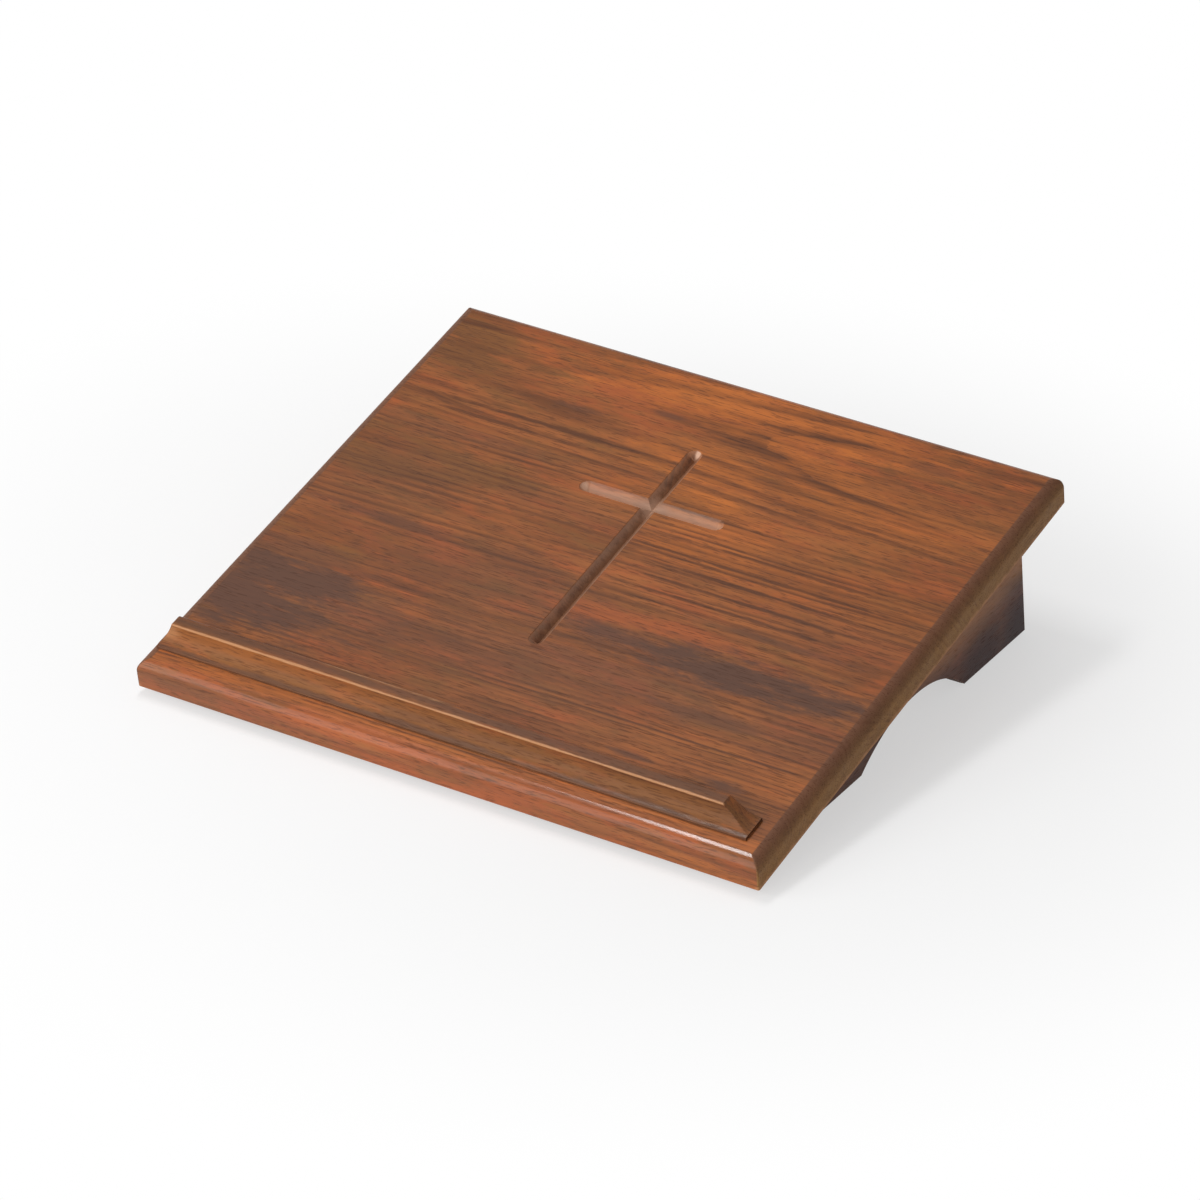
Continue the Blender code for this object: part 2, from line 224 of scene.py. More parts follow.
def new_material(name):
    """A material with nodes: gives it, its shader, and places on the piece as fields."""
    material = bpy.data.materials.new(name)
    material.use_nodes = True
    nodes = material.node_tree.nodes
    print("material", name)
    return material, nodes["Principled BSDF"], fields(nodes.new("ShaderNodeTexCoord").outputs)


def set_shader(shader, values):
    for label, value in values.items():
        put(value, shader.inputs[label])


# %% [markdown]
# ## The floor and the light
# The stand was shown on white. The floor is a wide sweep of white paper that curves up far away, as
# in a studio, so no horizon shows. Close to the stand it is plain paper that takes the soft shadow.
# Further out it also glows, for the camera and in reflections only, so that the page stays white
# and no extra light falls on the stand.

# %% White paper
PAPER_WHITE = (0.90, 0.90, 0.90, 1.0)
PAPER_ROUGHNESS = 0.9
PAPER_SHINE = 0.1
GLOW_NEAR, GLOW_FAR = 0.55, 1.0
GLOW_FROM, GLOW_TO = 0.20, 0.55

paper, shader, place = new_material("white_paper")
set_shader(shader, {
    "Base Color": PAPER_WHITE, "Roughness": PAPER_ROUGHNESS, "Specular IOR Level": PAPER_SHINE,
})
distance = vector_maths("LENGTH", place["Object"], output="Value")
glow_share = soft_step(distance, GLOW_FROM, GLOW_TO, GLOW_NEAR, GLOW_FAR)
paper_nodes = paper.node_tree.nodes
light_path = fields(paper_nodes.new("ShaderNodeLightPath").outputs)
seen = maths("MAXIMUM", light_path["Is Camera Ray"], light_path["Is Glossy Ray"])
seen = maths("MAXIMUM", seen, light_path["Is Transmission Ray"])
page = paper_nodes.new("ShaderNodeEmission")
shown = (seen * glow_share, Field(shader.outputs[0]), Field(page.outputs[0]))
put(add_node("MixShader", shown), paper_nodes["Material Output"].inputs[0])

# %% Floor
SWEEP_FLAT = 5.0
SWEEP_RADIUS = 8.0
SWEEP_HEIGHT = 3.0
SWEEP_SIDES = 96
SWEEP_STEPS = 12
FLOOR_GAP = 0.0002


def quarter_turn(steps):
    """Angles from 0 to a right angle."""
    return [step / steps * pi / 2 for step in range(steps + 1)]


sweep = bmesh.new()
bmesh.ops.create_circle(sweep, cap_ends=True, segments=SWEEP_SIDES, radius=SWEEP_FLAT)
rim = list(sweep.edges)
for angle in quarter_turn(SWEEP_STEPS)[1:]:
    reach = SWEEP_FLAT + (SWEEP_RADIUS - SWEEP_FLAT) * sin(angle)
    raised = bmesh.ops.extrude_edge_only(sweep, edges=rim)["geom"]
    for vert in [item for item in raised if isinstance(item, bmesh.types.BMVert)]:
        vert.co = Vector((vert.co.x, vert.co.y, 0.0)).normalized() * reach
        vert.co.z = SWEEP_HEIGHT * (1 - cos(angle))
    rim = [item for item in raised if isinstance(item, bmesh.types.BMEdge)]
floor_mesh = bpy.data.meshes.new("floor")
sweep.to_mesh(floor_mesh)
sweep.free()
floor_mesh.shade_smooth()
floor_mesh.materials.append(paper)
floor = add_object("floor", floor_mesh, Matrix.Translation((0, 0, -FLOOR_GAP)))
print("floor", len(floor_mesh.polygons), "faces")

# %% [markdown]
# Two soft lamps light the stand. The large one is low on the reader's left, so the front edge and the
# hollow of the ledge are bright and the right side lies in shade. A long narrow one hangs over the
# left side, and runs from front to back. Beside it hangs a bright strip that only shiny surfaces
# see: it draws the pale line along the rounded front edge, near its right end.

# %% Lamps and world
STAND_MIDDLE = Vector((0.0, 0.0, 0.05))
WORLD_LIGHT = 0.30


def add_soft_lamp(name, direction, distance, width, height, watts):
    """A rectangular lamp that looks at the stand from a direction."""
    lamp = bpy.data.lights.new(name, "AREA")
    lamp.shape = "RECTANGLE"
    lamp.size = width
    lamp.size_y = height
    lamp.energy = watts
    away = Vector(direction).normalized()
    turned = away.to_track_quat("Z", "Y").to_matrix().to_4x4()
    print(name, watts, "W")
    return add_object(name, lamp, Matrix.Translation(STAND_MIDDLE + away * distance) @ turned)


add_soft_lamp("front_lamp", (-0.40, -0.84, 0.36), 2.2, 2.4, 1.8, 42.0)
add_soft_lamp("top_lamp", (-0.27, -0.06, 0.96), 1.25, 0.60, 0.20, 6.5)
shine_strip = add_soft_lamp("shine_strip", (-0.285, -0.03, 0.95), 1.24, 0.74, 0.11, 6.0)
shine_strip.visible_diffuse = False

world = bpy.data.worlds.new("studio")
bpy.context.scene.world = world
world.use_nodes = True
world_light = world.node_tree.nodes["Background"]
world_light.inputs["Color"].default_value = (1.0, 1.0, 1.0, 1.0)
world_light.inputs["Strength"].default_value = WORLD_LIGHT
bpy.context.scene.view_settings.view_transform = "Standard"

# %% [markdown]
# ## How the wood grew
# A plank is a slice through a tree's rings. If rings are drawn as tubes about the pith, which lies
# under the plank and leans a little, then the slice shows the arches and straight lines of real
# wood by itself, and the sawn ends show the same rings as arcs. So the figure is made in three
# dimensions, from the place of the pith and the width of a year's ring, and not painted on a face.
# Oak's spring wood is a band of open pores, which drink the stain and turn dark.

# %% The rings of a trunk
SEED_SLANT = 1.7
TREMBLE = 0.15
TRUNK = {
    "Pith Across": 0.0, "Pith Depth": 0.06, "Pith Lean": 0.05,
    "Ring Width": 0.004, "Waver": 0.006, "Seed": 0.0,
}

figure, given, result = new_group(
    "wood figure", {"Vector": ORIGIN, **TRUNK}, ("Rings", "Streaks", "Pores", "Clouds", "Tint")
)
grain = given["Vector"]
along, across, deep = split(grain)
shift = join(given["Seed"], given["Seed"] * SEED_SLANT)

# The distance from the pith, with the trunk's slow bends and a fine tremble
wander = cloud(grain, (5.0, 17.0, 17.0), 2.0, shift=shift) - 0.5
tremble = cloud(grain, (26.0, 130.0, 130.0), 2.0, shift=shift) - 0.5
wander = (tremble * TREMBLE + wander) * given["Waver"]
sideways = across - given["Pith Across"]
below = along * given["Pith Lean"] + (deep + given["Pith Depth"])
radius = maths("SQRT", sideways * sideways + below * below) + wander

# Years: each has its own darkness, and the dark spring band breaks up along the grain
year = maths("DIVIDE", radius, given["Ring Width"])
season = maths("FRACT", year)
year_number = maths("FLOOR", year) + given["Seed"]
year_tone = add_node("TexWhiteNoise", {"W": year_number}, noise_dimensions="1D")
spring = maths("MAXIMUM", soft_step(season, 0.02, 0.60, 1.0, 0.0), soft_step(season, 0.80, 1.0))
strength = year_tone * 0.8 + 0.2
broken = soft_step(cloud(grain, (9.0, 60.0, 60.0), 3.0, 0.6, shift), 0.34, 0.64, 0.15, 1.0)
put(spring * strength * broken, result["Rings"])

# %% Streaks, pores, and slow changes of darkness and of hue
HUE_SHIFT = (7.3, 2.9, 5.1)

streaks = cloud(grain, (8.0, 190.0, 190.0), 4.0, 0.62, shift)
put(soft_step(streaks, 0.40, 0.68), result["Streaks"])
dashes = cloud(grain, (110.0, 1500.0, 1500.0), 1.0, shift=shift)
put(soft_step(dashes, 0.54, 0.68), result["Pores"])
drift = cloud(grain, (9.0, 42.0, 42.0), 4.0, 0.62, shift)
put(soft_step(drift, 0.32, 0.68), result["Clouds"])
put(cloud(grain, (19.0, 62.0, 62.0), 4.0, 0.65, HUE_SHIFT), result["Tint"])


def grow(vector, *sawn_from):
    """The figure of a piece, from its place in the trunk: the values of TRUNK in their order."""
    return use_group(figure, {"Vector": vector, **dict(zip(TRUNK, sawn_from))})


print("figure of", len(figure.nodes), "nodes")

# %% [markdown]
# ## Patches of stain
# Stain never takes evenly. The board has a grey, smoky patch by its left end, a long dark streak
# on the right, and a warmer glow about the cross. Each is a soft oval with a ragged rim, so one
# group makes them all from a place and three half lengths. The same ovals also paint shade, shadows
# and highlights on some pieces. The noise that frays the rims is made once in each material and
# handed in.

# %% A patch of stain
PATCH_FULL, PATCH_GONE = 0.25, 1.15

patch, given, result = new_group(
    "stain patch",
    {"Vector": ORIGIN, "Centre": ORIGIN, "Half Lengths": (0.1, 0.05, 1.0), "Fray": 0.0},
    ("Mask",),
)
offset = vector_maths("SUBTRACT", given["Vector"], given["Centre"])
shrunk = vector_maths("DIVIDE", offset, given["Half Lengths"])
frayed = vector_maths("LENGTH", shrunk, output="Value") + given["Fray"]
put(soft_step(frayed, PATCH_FULL, PATCH_GONE, 1.0, 0.0), result["Mask"])

# %% [markdown]
# ## Worn edges
# Hands and books rub the finish off the edges first, and the bare wood there is lighter. The Bevel
# node looks at the faces round a point: where they turn away from each other, its normal leaves the
# face's own normal, and that difference is the mask. A little noise breaks it up.

# %% Edge wear
BEVEL_SAMPLES = 4
EDGE_AGREES, EDGE_TURNS = 0.98, 0.80

edge_wear, given, result = new_group(
    "edge wear", {"Vector": ORIGIN, "Radius": 0.0008, "Amount": 0.6}, ("Mask",)
)
eased = add_node("Bevel", {"Radius": given["Radius"]}, samples=BEVEL_SAMPLES)
facing = edge_wear.nodes.new("ShaderNodeNewGeometry").outputs["True Normal"]
agree = vector_maths("DOT_PRODUCT", eased, Field(facing), output="Value")
turned_away = soft_step(agree, EDGE_AGREES, EDGE_TURNS)
rubbed = cloud(given["Vector"], (70.0, 160.0, 160.0), 3.0, 0.6)
rubbed = soft_step(rubbed, 0.35, 0.65, 0.35, 1.0)
put(turned_away * rubbed * given["Amount"], result["Mask"])

# %% [markdown]
# ## The walnut stain
# One tin of stain went over board, ledge and legs, so its colours are one group too. Open pores and
# spring wood turn dark, and the summer wood between stays orange. Sawn ends drink most and dry to a
# dull brown. On the right end, below the rounded edge, the sawn side is painted lighter, as painted
# light on a face that the lamps leave in shade. Rubbed edges are pale from wear, and the same pale
# colour also paints highlights on lit edges. The cross gets pale painted highlights and reflections,
# and the smoky colour paints shade and shadows as well as real patches of stain. The group also
# gives the roughness, the height, because pores under a thin lacquer stay as fine dents that don't
# shine, and the lacquer's weight.

# %% The stain's colours
SUMMER_WOOD = (0.365, 0.120, 0.036, 1.0)
QUIET_WOOD = (0.230, 0.077, 0.027, 1.0)
RED_WOOD = (0.385, 0.100, 0.032, 1.0)
OLIVE_WOOD = (0.222, 0.091, 0.030, 1.0)
SPRING_WOOD = (0.115, 0.043, 0.020, 1.0)
PORE_BROWN = (0.070, 0.029, 0.017, 1.0)
# The smoky brown also paints shade and shadows, the lighter sawn side is painted light, the rubbed
# colour also paints highlights, and the pale pink paints highlights and reflections.
SMOKE_AND_SHADE_BROWN = (0.110, 0.052, 0.034, 1.0)
WARM_GLOW = (0.520, 0.156, 0.034, 1.0)
SAWN_ROUND = (0.165, 0.078, 0.047, 1.0)
LIT_SAWN_SIDE = (0.330, 0.168, 0.055, 1.0)
RUBBED_AND_LIT_WOOD = (0.480, 0.230, 0.105, 1.0)
PAINTED_HIGHLIGHT = (0.590, 0.360, 0.250, 1.0)
CONTRAST = 0.9

stain, given, result = new_group(
    "walnut stain",
    {
        "Rings": 0.0, "Streaks": 0.0, "Pores": 0.0, "Clouds": 0.5, "Tint": 0.5,
        "Smoke": 0.0, "Smoke Color": SMOKE_AND_SHADE_BROWN, "Glow": 0.0, "End": 0.0, "Low": 0.0,
        "Wear": 0.0, "Polish": 0.0, "Lacquer": 0.3,
    },
    ("Color", "Roughness", "Height", "Coat"),
)
pores, tint, sawn_end = given["Pores"], given["Tint"], given["End"]
dark_line = (given["Streaks"] * 0.40 + given["Rings"]) * CONTRAST
dark_line = dark_line * soft_step(sawn_end, 0.0, 1.0, 1.0, 0.45)
smoke_and_shade_share = given["Smoke"] * soft_step(sawn_end, 0.0, 1.0, 1.0, 0.35)
colour = mix_colours(given["Clouds"], QUIET_WOOD, SUMMER_WOOD)
layers = (
    (soft_step(tint, 0.50, 0.30, 0.0, 0.85), RED_WOOD),
    (soft_step(tint, 0.50, 0.70, 0.0, 0.85), OLIVE_WOOD),
    (given["Glow"], WARM_GLOW),
    (sawn_end * 0.90, mix_colours(given["Low"], SAWN_ROUND, LIT_SAWN_SIDE)),
    (maths("MINIMUM", dark_line, 0.95), SPRING_WOOD),
    (smoke_and_shade_share, given["Smoke Color"]),
    (pores * 0.5, PORE_BROWN),
    (given["Wear"], RUBBED_AND_LIT_WOOD),
    (given["Polish"], PAINTED_HIGHLIGHT),
)
for share, layer in layers:
    colour = mix_colours(share, colour, layer)
put(colour, result["Color"])
dull = given["Clouds"] * 0.08 + (pores * 0.25 + 0.38)
put(sawn_end * 0.20 + dull, result["Roughness"])
put(1.0 - pores, result["Height"])
put(given["Lacquer"] * soft_step(sawn_end, 0.0, 1.0, 1.0, 0.2), result["Coat"])

# %% [markdown]
# ## Stained pieces
# Each stave was sawn from another part of the log, so each gets a material of its own from the same
# groups: its own place in the trunk and its own patches. Patches are drawn up in millimetres, along
# the grain and across it, as on a workshop drawing. The lacquer is the Principled shader's coat. Its
# roughness is the same all over, so it is set on the shader itself. Its weight comes from the stain
# group, because sawn ends soak it up and the grooves of the cross stay dull.

# %% Grain and patches
MM = 0.001
THROUGH = 9000
END_SOFTNESS = 0.0007


def grain_axes(place, grain, end_from):
    """The place with the grain along its first axis, and the mask of the sawn ends."""
    x, y, z = split(place["Object"])
    facing_x, facing_y, _ = split(place["Normal"])
    if grain == "x":
        vector, out, towards = place["Object"], x, abs(facing_x)
    else:
        vector, out, towards = join(y, z, x), y, abs(facing_y)
    if end_from is None:
        return vector, soft_step(towards, 0.10, 0.60)
    past = soft_step(abs(out), end_from - END_SOFTNESS, end_from + END_SOFTNESS)
    return vector, past * soft_step(towards, 0.02, 0.12)


def add_patches(vector, fray, patches, total=None):
    """Soft ovals joined into one mask. Each has a centre, half lengths and an amount, as
    (x, y, z, half_x, half_y, half_z, amount), or without z where it goes through the wood."""
    for *sizes, amount in patches:
        if len(sizes) == 4:
            sizes = [*sizes[:2], 0, *sizes[2:], THROUGH]
        metres = [size * MM for size in sizes]
        values = {"Vector": vector, "Centre": metres[:3], "Half Lengths": metres[3:], "Fray": fray}
        share = use_group(patch, values)["Mask"] * amount
        total = share if total is None else maths("MAXIMUM", total, share)
    return 0.0 if total is None else total


# %% A stained material
LACQUER_ROUGHNESS = 0.13
UNDER_LACQUER = 0.10
EDGE_WEAR = 0.45
FAINT_FRAY = 0.35
GROOVE_SHINE = 0.1
SIDE_TOP, SIDE_LOW, SIDE_UNEVEN = 0.0190, 0.0100, 0.0012


def stained_material(
    name, sawn_from, grain="x", joints=(), end_from=None, smoke_colour=SMOKE_AND_SHADE_BROWN, lacquer=0.30,
    ragged=2.2, **patches
):
    """A stained, lacquered oak with its own patches; joints are the glued edges, which never wear."""
    material, shader, place = new_material(name)
    vector, sawn_end = grain_axes(place, grain, end_from)
    along, across, height = split(vector)
    fray = (cloud(vector, (34.0, 150.0, 150.0), 4.0, 0.75) - 0.5) * ragged

    def mask(kind, total=None, fray=fray):
        return add_patches(vector, fray, patches.get(kind, ()), total)

    grown = grow(vector, *sawn_from)
    values = {label: grown[label] for label in ("Streaks", "Pores", "Clouds")}
    values["Rings"] = mask("veins", grown["Rings"])
    values["Tint"] = grown["Tint"] + mask("olive") - mask("red")
    values["Glow"] = mask("glow")
    values.update({"End": sawn_end, "Smoke Color": smoke_colour})
    # Painted light: on the right end, below the rounded edge, the sawn side face is painted lighter,
    # standing in for light on a face that the lamps leave in shade.
    if end_from is not None:
        low = soft_step(fray * SIDE_UNEVEN + height, SIDE_TOP, SIDE_LOW)
        values["Low"] = soft_step(along, -0.01, 0.01) * low

    under_top = soft_step(height, BOARD_THICKNESS - 0.0001, BOARD_THICKNESS - 0.0005)
    # Painted shade darkens the upright groove, with stain gathered there; painted highlights and
    # reflections pale the arms, the ends of the grooves and the rims.
    in_groove = under_top * mask("carved", fray=0.0)
    values["Smoke"] = mask("smoke", in_groove)
    values["Polish"] = under_top * mask("polish", fray=fray * FAINT_FRAY)
    in_cross = in_groove + values["Polish"]
    values["Lacquer"] = soft_step(in_cross, 0.0, 0.5, lacquer, GROOVE_SHINE * lacquer)

    worn = use_group(edge_wear, {"Vector": vector, "Amount": EDGE_WEAR})["Mask"]
    for joint in joints:
        worn = worn * soft_step(abs(across - joint), 0.001, 0.002)
    # The rubbed patches add wear, and on the board's end arrises, the ledge and the legs they also
    # paint highlights and light.
    values["Wear"] = mask("rubbed", worn)

    finish = use_group(stain, values)
    set_shader(shader, {
        "Base Color": finish["Color"],
        "Roughness": finish["Roughness"],
        "Coat Weight": finish["Coat"],
        "Specular IOR Level": UNDER_LACQUER,
        "Coat Roughness": LACQUER_ROUGHNESS,
        "Normal": relief(finish["Height"], 0.35, 0.0002),
    })
    return material


# %% [markdown]
# ## The marks on each piece
# The cross was cut through the finish. Its upright is painted nearly black-brown, as stain that
# gathered in it and as painted shade in the groove, with a faint painted light on its floor. Its
# arms, the ends of its grooves and its rims are painted pale, as painted highlights and reflections
# of the lamps. These marks run over the joints, so they are drawn once and handed to the staves they
# touch.
# The lower edges at the ends of the board are paled on every stave, as wear and as a painted
# highlight.

# %% Marks in the cross and at the ends
FIRST_JOINT = 0.1175
SECOND_JOINT = 0.265
SAWN_FROM = 0.1947
CROSS_X = -3.5
ARM_Y = 247
UPRIGHT_Y = 206.5
GROOVE_FLOOR = 14.2
BOARD_TOP = BOARD_THICKNESS / MM
BOARD_END = BOARD_WIDTH / 2 / MM

# Painted highlight and wear: the lower edge at each end of the board is paled.
end_arrises = [(side * BOARD_END, 0, 0, 3, THROUGH, 3.2, 0.85) for side in (-1, 1)]
# Painted light: a faint pale wash on the upright's floor. Painted shade: the upright groove is
# darkened, together with stain that gathered in it.
upright_floor = (CROSS_X, UPRIGHT_Y, GROOVE_FLOOR, 8, 150, 4.2, 0.20)
upright_groove = (CROSS_X, UPRIGHT_Y, GROOVE_FLOOR, 16, 200, 8, 0.86)
# Painted highlights and reflections: the rims, the arms' far wall, the ends of the arms, the crossing
# and the top of the upright are painted pale.
painted_rim_highlight = (CROSS_X, UPRIGHT_Y, BOARD_TOP, 30, 200, 3.6, 0.26)
painted_arm_reflection = (CROSS_X, ARM_Y + 1, GROOVE_FLOOR, 150, 12, 5.8, 0.54)
arm_glints = [(x, y, GROOVE_FLOOR, 3, 4, 30, 0.85) for x, y in ((-49, 248), (42.5, 245), (-8, 245))]
top_glint = (CROSS_X + 1.2, 301.5, GROOVE_FLOOR, 2.6, 3.6, 30, 1.10)
print("the cross lies", -CROSS_X, "mm left of the middle")

# %% Front stave
front_stave_finish = stained_material(
    "front_stave_oak",
    (0.200, 0.080, 0.010, 0.0034, 0.006, 3.0),
    joints=(FIRST_JOINT,),
    end_from=SAWN_FROM,
    carved=[upright_groove],
    polish=[painted_rim_highlight],
    rubbed=end_arrises,
    smoke=[
        (-165, 102, 80, 34, 0.95), (-178, 76, 85, 40, 0.95), (-120, 92, 100, 32, 0.50),
        (-30, 94, 120, 30, 0.36), (50, 106, 100, 18, 0.46), (120, 96, 60, 10, 0.60),
        (170, 102, 60, 30, 0.34), (-160, 0, 6, 90, 6, 14, 0.25),
        # Painted shadow: the next three patches darken the board just behind the ledge, where its
        # shadow falls.
        (153, 50, BOARD_TOP, 17, 5, 4, 0.75), (96, 50, BOARD_TOP, 15, 3.5, 4, 0.65),
        (-60, 49, BOARD_TOP, 120, 2, 4, 0.20),
    ],
    glow=[
        (0, 11.5, BOARD_TOP, THROUGH, 6, 6, 0.55), (150, 62, 90, 45, 0.30),
        (165, 0, 3, 60, 8, 8, 0.50),
    ],
    red=[(0, 6, 10, 300, 14, 20, 0.18)],
)

# %% Middle stave
middle_stave_finish = stained_material(
    "middle_stave_oak",
    (0.080, 0.081, -0.010, 0.0042, 0.006, 11.0),
    joints=(FIRST_JOINT, SECOND_JOINT),
    end_from=SAWN_FROM,
    carved=[upright_groove],
    polish=[painted_rim_highlight, painted_arm_reflection, *arm_glints],
    rubbed=[upright_floor, *end_arrises],
    smoke=[
        (120, 134, 120, 20, 0.97), (40, 136, 55, 10, 0.85), (-140, 172, 70, 6, 0.60),
        (130, 169, 80, 4, 0.60), (-160, 200, 80, 60, 0.24), (-150, 264, 110, 22, 0.34),
        (-60, 150, 100, 40, 0.34), (-170, 124, 80, 16, 0.50), (160, 188, 80, 24, 0.26),
        (-50, 226, 60, 16, 0.22),
    ],
    glow=[
        (10, 254, 75, 30, 0.42), (50, 238, 50, 36, 0.62), (27, 267, 36, 12, 0.95),
        (44, 218, 50, 16, 0.75), (130, 215, 90, 50, 0.30),
    ],
    veins=[
        (100, 228, 130, 1.8, 0.85), (90, 215, 130, 1.8, 0.90), (110, 203, 110, 2, 0.95),
        (100, 191, 120, 1.8, 0.90), (80, 180, 130, 2, 0.85),
    ],
    red=[(-110, 158, 60, 12, 0.12), (60, 152, 80, 12, 0.20)],
    olive=[(-150, 225, 90, 40, 0.15)],
)

# %% Back stave
back_stave_finish = stained_material(
    "back_stave_oak",
    (0.325, 0.1397, -0.015, 0.0026, 0.004, 23.0),
    joints=(SECOND_JOINT,),
    end_from=SAWN_FROM,
    carved=[upright_groove],
    polish=[painted_rim_highlight, top_glint],
    rubbed=[upright_floor, *end_arrises],
    smoke=[(-34, 325, 14, 3.5, 0.60), (-85, 309, 20, 3.5, 0.45), (130, 345, 20, 6, 0.40)],
    glow=[
        (10, 290, 60, 24, 0.80), (27, 269, 36, 10, 0.95), (118, 293, 90, 30, 0.55),
        (50, 318, 70, 14, 0.75), (18, 327, 45, 12, 0.90), (20, 350, 150, 28, 0.80),
    ],
    veins=[
        (100, 304, 120, 2.2, 0.50), (95, 292, 125, 2.2, 0.60), (95, 281, 125, 2.2, 0.60),
        (-85, 287, 110, 2.8, 0.95), (-110, 277, 100, 2.4, 0.90), (-20, 330, 60, 1.8, 0.50),
        (30, 318, 60, 1.8, 0.25),
    ],
    red=[(10, 345, 190, 30, 0.22)],
    olive=[(-180, 335, 40, 30, 0.25)],
)

# %% [markdown]
# The ledge is darkened with painted shade in its hollow, behind its crest and on its sloped right
# end. Its crest is pale, rubbed by books and also a painted highlight, and its left end is a painted
# highlight. The legs are darkest at their feet, with a reddish black painted shade, and lighter and
# golden under the board, as painted light.

# %% Ledge and legs
LEDGE_SAWN_FROM = 0.1905
LEDGE_SHADE = (0.115, 0.056, 0.034, 1.0)
LEG_SHADE = (0.042, 0.014, 0.015, 1.0)

ledge_finish = stained_material(
    "ledge_oak",
    (0.120, 0.050, 0.005, 0.0035, 0.004, 31.0),
    end_from=LEDGE_SAWN_FROM,
    smoke_colour=LEDGE_SHADE,
    lacquer=0.03,
    smoke=[
        # Painted shade: the hollow, the top behind the crest and the sloped right end are darkened.
        (0, 16, 20.3, THROUGH, 4, 3, 0.75), (0, 29, 32.2, THROUGH, 5, 2.2, 0.75),
        (183, 29, 25, 22, 30, 15, 0.30), (189, 30, 20.5, 4, 10, 4, 0.80),
    ],
    glow=[(-130, 22, 29, 110, 8, 7, 0.30)],
    olive=[(0, 20, 26, THROUGH, 10, 10, 0.20)],
    rubbed=[
        # Painted highlight and wear: the crest is paled as a lit, rubbed edge, and the left end as a
        # painted highlight; the specks along the back are wear.
        (0, 24.1, 31.9, THROUGH, 1.1, 0.9, 1.00), (-196, 24, 29, 10, 12, 6, 0.50),
        (-60, 32.5, 31.6, 60, 1.6, 1.6, 0.75),
    ],
)
leg_finish = stained_material(
    "leg_oak",
    (-0.060, 0.250, 0.04, 0.0040, 0.006, 47.0),
    grain="y",
    smoke_colour=LEG_SHADE,
    lacquer=0.02,
    ragged=0.35,
    smoke=[
        # Painted shade: the legs are darkened at their feet and low down.
        (170, -2, 65, 70, 1.00), (114, -2, 62, 54, 0.92), (60, 10, 260, 26, 0.60),
        (-60, 0, 140, 30, 0.60),
    ],
    # Painted light: the upper legs, under the board, are lighter and golden.
    glow=[(165, 84, 90, 30, 0.50), (60, 58, 130, 32, 0.45)],
    olive=[(80, 60, 120, 30, 0.25)],
    # Painted light: these pale patches lighten the upper legs as well.
    rubbed=[(50, 55, 120, 33, 0.68), (152, 62, 30, 24, 0.60)],
)

# %% [markdown]
# ## Placing a piece
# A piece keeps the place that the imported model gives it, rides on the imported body, and stands for
# the node whose shape it refines. Weighted normals keep wide flat faces flat where they run into a
# rounded edge, which matters under a lacquer. Most pieces are lofts: rings of points with a skin
# over them.

# %% Piece helpers
SHARP_ANGLE = radians(30)


def finished_mesh(name, shape):
    bmesh.ops.recalc_face_normals(shape, faces=shape.faces)
    mesh = bpy.data.meshes.new(name)
    shape.to_mesh(mesh)
    shape.free()
    return mesh


def add_piece(node, mesh, place, material):
    """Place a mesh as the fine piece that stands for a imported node."""
    piece = add_object("fine_" + node, mesh, place)
    mesh.materials.clear()
    mesh.materials.append(material)
    mesh.shade_smooth()
    mesh.set_sharp_from_angle(angle=SHARP_ANGLE)
    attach(piece, "root")
    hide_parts(node)
    return piece


def keep_flats_flat(piece):
    weighted = piece.modifiers.new("flat_faces", "WEIGHTED_NORMAL")
    weighted.keep_sharp = True
    print(piece.name, len(piece.data.polygons), "faces")


# %% Carving helpers
def carve(mesh, place, cutters):
    """Cut the cutters out of a mesh, and give the carved mesh."""
    block = add_object("block", mesh, place)
    for cutter in cutters:
        boolean = block.modifiers.new(cutter.name, "BOOLEAN")
        boolean.operation = "DIFFERENCE"
        boolean.solver = "EXACT"
        boolean.object = cutter
    seen_block = block.evaluated_get(bpy.context.evaluated_depsgraph_get())
    carved = bpy.data.meshes.new_from_object(seen_block)
    carved.name = mesh.name
    bpy.data.objects.remove(block, do_unlink=True)
    return carved


def add_cutter(name, shape, place):
    return add_object(name, finished_mesh(name, shape), place)


def drop_cutters(cutters):
    for cutter in cutters:
        bpy.data.objects.remove(cutter, do_unlink=True)


# %% Loft helpers
def add_loft(shape, rings):
    """Skin rings of points of equal count, and close the first and the last with a face."""
    rings = [[shape.verts.new(point) for point in ring] for ring in rings]
    for lower, upper in zip(rings, rings[1:]):
        for i in range(len(lower)):
            j = (i + 1) % len(lower)
            shape.faces.new((lower[i], lower[j], upper[j], upper[i]))
    shape.faces.new(tuple(reversed(rings[0])))
    shape.faces.new(rings[-1])
    return shape


def loft_mesh(name, rings):
    return finished_mesh(name, add_loft(bmesh.new(), rings))


def round_ring(sides, z, radius):
    """Points about the z axis; the radius is a number, or a function of the angle."""
    radius_at = radius if callable(radius) else lambda angle: radius
    angles = [2 * pi * i / sides for i in range(sides)]
    return [Vector((radius_at(a) * cos(a), radius_at(a) * sin(a), z)) for a in angles]


def rounded_box(half_width, front, back, front_round, back_round, steps):
    """The points of a rectangle with rounded corners, from its front right corner on."""
    front, back = (front + front_round, front_round), (back - back_round, back_round)
    points = []
    for quarter, (side, (y, radius)) in enumerate(((1, front), (1, back), (-1, back), (-1, front))):
        x = side * (half_width - radius)
        for step in range(steps + 1):
            angle = (quarter - 1 + step / steps) * pi / 2
            points.append((x + radius * cos(angle), y + radius * sin(angle)))
    return points


# %% [markdown]
# ## Holes for the hidden fixings
# Dowels line up the staves and the legs, screws hold the legs and the ledge. Their holes are drawn
# first, as one set of plugs, because they pass through several pieces at once. Most of them never
# show, but the countersunk holes under the board do.

